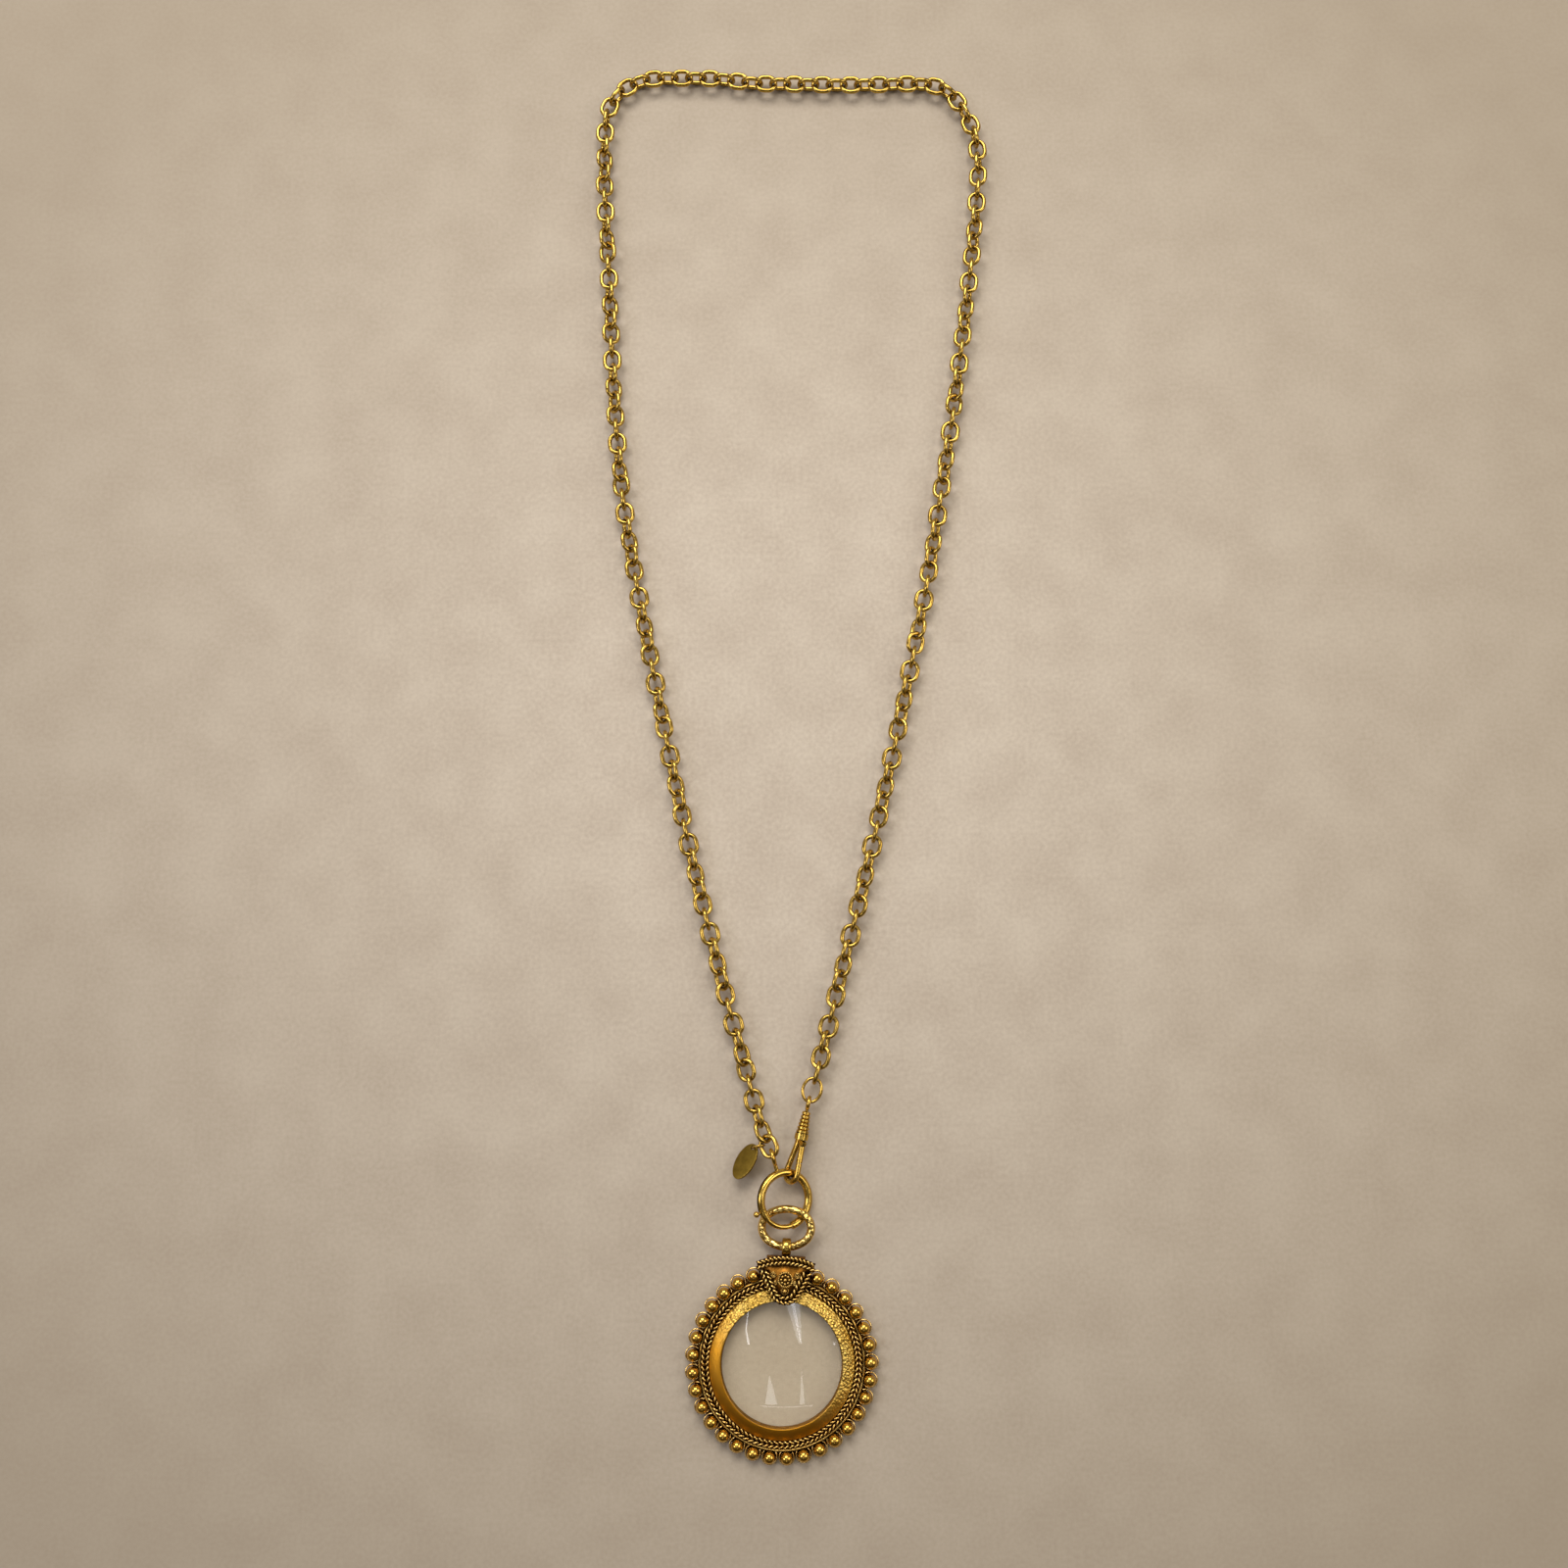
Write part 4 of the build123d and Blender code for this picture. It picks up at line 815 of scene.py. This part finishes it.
# %% [markdown]
# ## The hammered ring
# The ring that carries the pendant is a closed oval of thick wire with hammer flats all round.
# Sculpting them by hand would differ each time. Here the wire is drawn smooth, points are spread
# over it with a fixed seed, and whatever stands above the plane through the nearest point is
# pressed down to it, as a hammer does.

# %% The plain wire tree
thick_tree, given = new_tree("plain round wire", Steps="Int", Wire="Float", Sides="Int",
                             Finish="Material")
even = add(thick_tree, "GeometryNodeResampleCurve", {"Curve": given["Geometry"],
                                                     "Count": given["Steps"]})
close_tree(thick_tree, tube(thick_tree, even.outputs[0], given["Sides"], given["Wire"]),
           given["Finish"])

# %% The hammered ring
RING_ROLL = math.radians(-8)
RING_CENTRE = (1.33, 36.92, 3.5)
HAMMER_FLATS, HAMMER_DEPTH, HAMMER_SEED = 130, 0.045, 5


def oval(half_length, half_width, end_radius):
    """Points of a closed oval of four tangent arcs, long along Y, in millimetres."""
    squares = half_length**2 + half_width**2
    side = (squares - 2 * half_length * end_radius) / (2 * (half_width - end_radius))
    end_y, side_x = half_length - end_radius, side - half_width
    reach = math.degrees(math.atan2(side_x, end_y))
    runs = [(0, end_y, end_radius, 90 - reach, 2 * reach),
            (side_x, 0, side, 90 + reach, 180 - 2 * reach),
            (0, -end_y, end_radius, 270 - reach, 2 * reach),
            (-side_x, 0, side, reach - 90, 180 - 2 * reach)]
    points = []
    for x, y, radius, start, sweep in runs:
        points += [(a + x, b + y, c) for a, b, c in circle(radius, 0, 40, start, sweep)[:-1]]
    return points


def read(items, name, width=3, kind=float):
    """One value of every item of a mesh, as the rows of an array."""
    values = np.empty(len(items) * width, dtype=kind)
    items.foreach_get(name, values)
    return values.reshape(-1, width)


def beaten(mesh, flats, depth, seed):
    """Presses flats into a smooth mesh, each on the plane a little below its own point."""
    spots, normals = read(mesh.vertices, "co"), read(mesh.vertices, "normal")
    chosen = np.random.default_rng(seed).choice(len(spots), flats, replace=False)
    nearest = np.linalg.norm(spots[:, None] - spots[chosen][None], axis=2).argmin(axis=1)
    seats, ways = spots[chosen][nearest], normals[chosen][nearest]
    above = np.maximum(((spots - seats) * ways).sum(axis=1) + depth, 0)
    mesh.vertices.foreach_set("co", (spots - ways * above[:, None]).ravel())
    return mesh


ring_place = (in_mm @ Matrix.Translation(RING_CENTRE) @ Matrix.Rotation(RING_ROLL, 4, "Y")
              @ Matrix.Rotation(math.radians(90), 4, "Z"))
mesh = baked(thick_tree, path(oval(7.0, 5.15, 4.35), True), Steps=260, Wire=1.16, Sides=28,
             Finish=gilt_ring)
finish_piece("ring_hammered", beaten(mesh, HAMMER_FLATS, HAMMER_DEPTH, HAMMER_SEED), gilt_ring,
             ["hanging_ring"], ring_place)
print("ring", len(mesh.polygons), "faces")

# %% [markdown]
# ## Pieces kept from the frame
# The spring ring with its bolt, knob and eye, the clasp, the small rings and the tag are turned,
# drawn or cut to simple shapes, which the frame already holds. Drawing them again would add nothing.
# A copy of each is merged, so that its curves can be shaded smooth while its corners stay sharp.

# %% Pieces kept from the frame
MERGE_MM = 0.002
SHARP_FROM = math.radians(35)


def kept(node, material):
    """A smooth-shaded copy of a node of the frame."""
    mesh = frame["nodes"][node].data.copy()
    mesh.materials.clear()
    work = bmesh.new()
    work.from_mesh(mesh)
    bmesh.ops.remove_doubles(work, verts=work.verts, dist=MERGE_MM * MM)
    work.to_mesh(mesh)
    work.free()
    if mesh.attributes.get("custom_normal"):
        mesh.attributes.remove(mesh.attributes["custom_normal"])
    finish_piece(node + "_smooth", mesh, material, [node])
    mesh.set_sharp_from_angle(angle=SHARP_FROM)


clasp_nodes = ("spring_ring_tube", "spring_ring_bolt", "spring_ring_knob", "spring_ring_eye",
               "clasp_hook", "clasp_gate", "gate_pin", "clasp_barrel", "swivel_eye", "jump_ring",
               "tag_ring")
for node in clasp_nodes:
    kept(node, gilt_clasp)
kept("tag", bronze_tag)
kept("gate_spring", spring_steel)
print("kept", len(clasp_nodes) + 2, "pieces")

# %% [markdown]
# ## The bolt's spring
# The spring behind the bolt is a coil inside the tube, and shows through the knob's slot. A stiff
# coil would cut through the bolt when it slides back. Its ends, one on the tube's stop and one at
# the bolt, are worked out and passed along, but the coil is placed once and does not follow the
# bolt.

# %% The bolt's spring
BOLT_RING_RADIUS = 7.5
BOLT_RING_CENTRE = Vector((-2.0142, -138.4894, 4.5249))
BOLT_LEAN = math.radians(27)
SPRING_START, SPRING_SWEEP = 47, 141
SPRING_TURNS, SPRING_WIRE, SPRING_REACH = 20, 0.12, 0.38

spring_points = circle(BOLT_RING_RADIUS, 0, 141, SPRING_START, SPRING_SWEEP)
mesh = twisted(path(spring_points), SPRING_TURNS, SPRING_TURNS * 20, SPRING_WIRE, SPRING_REACH,
               spring_steel, strands=1)
spring_place = (Matrix.Translation(BOLT_RING_CENTRE * MM) @ Matrix.Rotation(BOLT_LEAN, 4, "Y")
                @ Matrix.Scale(MM, 4))
spring_ends = [tuple(spring_place @ Vector(spot)) for spot in (spring_points[0], spring_points[-1])]
finish_piece("bolt_spring_coiled", mesh, spring_steel, ["bolt_spring"], spring_place,
             ("spring_ring", "bolt", *spring_ends))
print("bolt spring", len(mesh.polygons), "faces")

# %% [markdown]
# ## The chain
# The chain is about 170 oval links of soldered wire, several to each node of the frame. An array
# along a curve would lay them evenly, but each link has to lie where the frame has it. So their
# centres and directions are read from the frame: every closed shell in a node is one link, and its
# long, wide and thin directions come from the spread of its surface.

# %% Where the links lie
WELD_M = 1e-6


def shells(faces, count):
    """A label for every face of a triangle mesh, the same all over one closed shell."""
    label = np.arange(count)
    while True:
        fresh = label.copy()
        np.minimum.at(fresh, faces.ravel(), np.repeat(label[faces].min(axis=1), 3))
        fresh = fresh[fresh]
        if (fresh == label).all():
            return label[faces[:, 0]]
        label = fresh


def link_spots(node):
    """The centre and the three directions of every link in a node, in metres."""
    mesh = frame["nodes"][node].data
    spots = read(mesh.vertices, "co")
    corners = read(mesh.loops, "vertex_index", 1, np.int64).ravel()
    keys, same = np.unique(np.round(spots / WELD_M).astype(np.int64), axis=0, return_inverse=True)
    shell = shells(same.ravel()[corners].reshape(-1, 3), len(keys))
    places = spots[corners].reshape(-1, 3, 3)
    sides = places[:, 1] - places[:, 0], places[:, 2] - places[:, 0]
    areas = np.linalg.norm(np.cross(*sides), axis=1)
    found = []
    for one in np.unique(shell):
        mine = shell == one
        weight = areas[mine] / areas[mine].sum()
        middles = places[mine].mean(axis=1)
        middle = (middles * weight[:, None]).sum(axis=0)
        spread = (middles - middle).T @ ((middles - middle) * weight[:, None])
        ways = np.linalg.eigh(spread)[1]
        found.append((middle, ways[:, 1], ways[:, 2], np.cross(ways[:, 1], ways[:, 2])))
    return found


chain_nodes = sorted(node for node in frame["nodes"]
                     if node.startswith(("left_chain", "right_chain")) or node == "chain_top")
links = {node: link_spots(node) for node in chain_nodes}
print("links", sum(len(spots) for spots in links.values()), "in", len(links), "nodes")

# %% [markdown]
# One link is drawn as round wire bent to an oval. A second tree sets a copy of it on each point, so
# that all of them change together, and turns it by an angle that is stored with the point.

# %% The link and the chain tree
LINK_RADIUS, LINK_STRAIGHT, LINK_WIRE = 2.3, 0.675, 0.65
link_path = []
for end, start in ((1, 0), (-1, 180)):
    half = circle(LINK_RADIUS, 0, 11, start, 180)
    link_path += [(x, y + end * LINK_STRAIGHT, 0) for x, y, z in half]
link_mesh = baked(thick_tree, path(link_path, True), Steps=26, Wire=LINK_WIRE, Sides=9,
                  Finish=gilt_chain)
link_mesh.transform(Matrix.Scale(MM, 4))
link_object = bpy.data.objects.new("link_pattern", link_mesh)

chain_tree, given = new_tree("links on points", Link="Object", Finish="Material")
dots = add(chain_tree, "GeometryNodeMeshToPoints", {"Mesh": given["Geometry"]})
shape = add(chain_tree, "GeometryNodeObjectInfo", {"Object": given["Link"]})
turn = add(chain_tree, "GeometryNodeInputNamedAttribute", {"Name": "turn"}, data_type="FLOAT_VECTOR")
placed = add(chain_tree, "GeometryNodeInstanceOnPoints", {"Points": dots.outputs[0],
                                                          "Instance": shape.outputs["Geometry"],
                                                          "Rotation": turn.outputs["Attribute"]})
close_tree(chain_tree, placed.outputs[0], given["Finish"])
print("one link", len(link_mesh.polygons), "faces")

# %% The chain's pieces
for node, spots in links.items():
    points = bpy.data.meshes.new("points")
    points.from_pydata([middle.tolist() for middle, x, y, z in spots], [], [])
    turn = points.attributes.new("turn", "FLOAT_VECTOR", "POINT")
    for i, (middle, x, y, z) in enumerate(spots):
        turn.data[i].vector = Matrix((x, y, z)).transposed().to_euler()
    mesh = baked(chain_tree, points, Link=link_object, Finish=gilt_chain)
    finish_piece(node + "_drawn", mesh, gilt_chain, [node])
bpy.data.objects.remove(link_object)
print("chain pieces", len(links))

# %% [markdown]
# ## The floor
# The glass lies on a plain warm beige board with a faint, soft mottling, and the view darkens
# towards its edges. Weaker lamps would also dull the metal, so that darkening is painted shade on
# the board itself, setting in away from its middle.

# %% The floor
FLOOR_SIZE, FLOOR_DROP_MM = 6, 0.2
bpy.ops.mesh.primitive_plane_add(size=FLOOR_SIZE, location=(0, 0, -FLOOR_DROP_MM * MM))
floor = bpy.context.object
floor.name = "floor"
beige, tree, shader = new_material("matt beige board")
where = add(tree, "ShaderNodeTexCoord").outputs["Object"]
mottle, fine = noise(tree, where, 18, 6), noise(tree, where, 1.2, 2)
blend = add(tree, "ShaderNodeMix", {"Factor": 0.5, "A": mottle, "B": fine})
tones = add(tree, "ShaderNodeValToRGB", {"Fac": blend.outputs["Result"]})
for stop, position, tone in zip(tones.color_ramp.elements, (0.35, 0.65), ("#bdb0a0", "#cfc4b4")):
    stop.position, stop.color = position, colour(tone)
far = add(tree, "ShaderNodeVectorMath", {0: where}, operation="LENGTH")
# Painted shade: the board darkens away from its middle.
painted_edge_shade = ranged(tree, far.outputs["Value"], 60 * MM, 300 * MM, 0.0, 0.75)
shaded = mix(tree, painted_edge_shade, tones.outputs["Color"], "#9c8f7c")
tree.links.new(shaded, shader.inputs["Base Color"])
shader.inputs["Roughness"].default_value = 0.9
floor.data.materials.append(beige)
print("floor", FLOOR_SIZE, "m wide")

# %% [markdown]
# ## The light
# A broad soft window stands beyond the chain's top and lights the metal from there. Two fainter
# ones fill in from the right and the left, and a pale room gives the rest. A picture of a real room
# could do all of that, but a few soft rectangles can each be set to match one shadow.

# %% The light
ROOM_DARK, ROOM_PALE, ROOM_STRENGTH = "#75664f", "#efe7da", 0.4


def panel(name, location, target, width, height, watts, tone):
    """A soft rectangular light that faces a target; all places in millimetres from the lens."""
    data = bpy.data.lights.new(name, "AREA")
    data.shape = "RECTANGLE"
    data.size, data.size_y = width * MM, height * MM
    data.energy = watts
    data.color = colour(tone)[:3]
    lamp = bpy.data.objects.new(name, data)
    lamp.location = centre + Vector(location) * MM
    aim = (Vector(target) - Vector(location)).normalized()
    lamp.rotation_euler = aim.to_track_quat("-Z", "Y").to_euler()
    bpy.context.scene.collection.objects.link(lamp)


panel("window beyond", (-150, 900, 900), (0, 150, 0), 900, 600, 10.9, "#fffaf4")
panel("window right", (800, 200, 700), (0, 100, 0), 500, 600, 3.1, "#fff8ee")
panel("window left", (-800, 100, 800), (0, 100, 0), 400, 500, 3.0, "#f4f4ff")

world = bpy.data.worlds.new("dim room")
bpy.context.scene.world = world
world.use_nodes = True
tree = world.node_tree
ground = tree.nodes["Background"]
way_out = add(tree, "ShaderNodeTexCoord").outputs["Generated"]
height = add(tree, "ShaderNodeSeparateXYZ", {"Vector": way_out})
ramp = add(tree, "ShaderNodeValToRGB", {"Fac": ranged(tree, height.outputs["Y"], -0.8, 0.8)})
ramp.color_ramp.elements[0].color = colour(ROOM_DARK)
ramp.color_ramp.elements[1].color = colour(ROOM_PALE)
tree.links.new(ramp.outputs["Color"], ground.inputs["Color"])
ground.inputs["Strength"].default_value = ROOM_STRENGTH
print("three windows and a room")

# %% [markdown]
# ## Bright gaps seen in the glass
# The lens mirrors a few bright gaps between dark shapes above it: two long wedges, a thin arc, a
# line and a spot. Each is a flat bright card high above the table. Real lamps there would change
# every shadow, so these are cards that only reflections see.

# %% Cards for the lens
CARD_HEIGHT = 650


def gap(name, tone, strength):
    """A material that only shines."""
    material, tree, _ = new_material(name)
    shine = add(tree, "ShaderNodeEmission", {"Color": colour(tone), "Strength": strength})
    tree.links.new(shine.outputs[0], tree.nodes["Material Output"].inputs["Surface"])
    return material


glow = gap("bright gap", "#f6f8ff", 9.0)
faint = gap("faint gap", "#eef0f4", 3.5)
cards = (("wedge above", faint, ((20, 198), (102, 199), (110, -23), (92, -23))),
         ("streak", glow, ((52, 193), (73, 194), (106, -11), (100, -11))),
         ("arc", glow, ((-196, 177), (-190, 177), (-200, 46), (-180, -25), (-192, -30), (-208, 46))),
         ("wedge below", faint, ((-69, -184), (-24, -375), (-99, -378))),
         ("small wedge", faint, ((109, -158), (134, -381), (105, -378))),
         ("line", faint, ((-123, -388), (186, -393), (186, -399), (-123, -394))),
         ("spot", glow, ((300, -38), (314, -38), (314, -26), (300, -26))))
for name, finish, corners in cards:
    sheet = bpy.data.meshes.new(name)
    sheet.from_pydata([(x, y, CARD_HEIGHT) for x, y in corners], [], [list(range(len(corners)))])
    sheet.transform(in_mm)
    sheet.materials.append(finish)
    card = bpy.data.objects.new("card " + name, sheet)
    bpy.context.scene.collection.objects.link(card)
    card.visible_camera = card.visible_diffuse = False
    card.visible_transmission = card.visible_shadow = False
print("cards", len(cards))
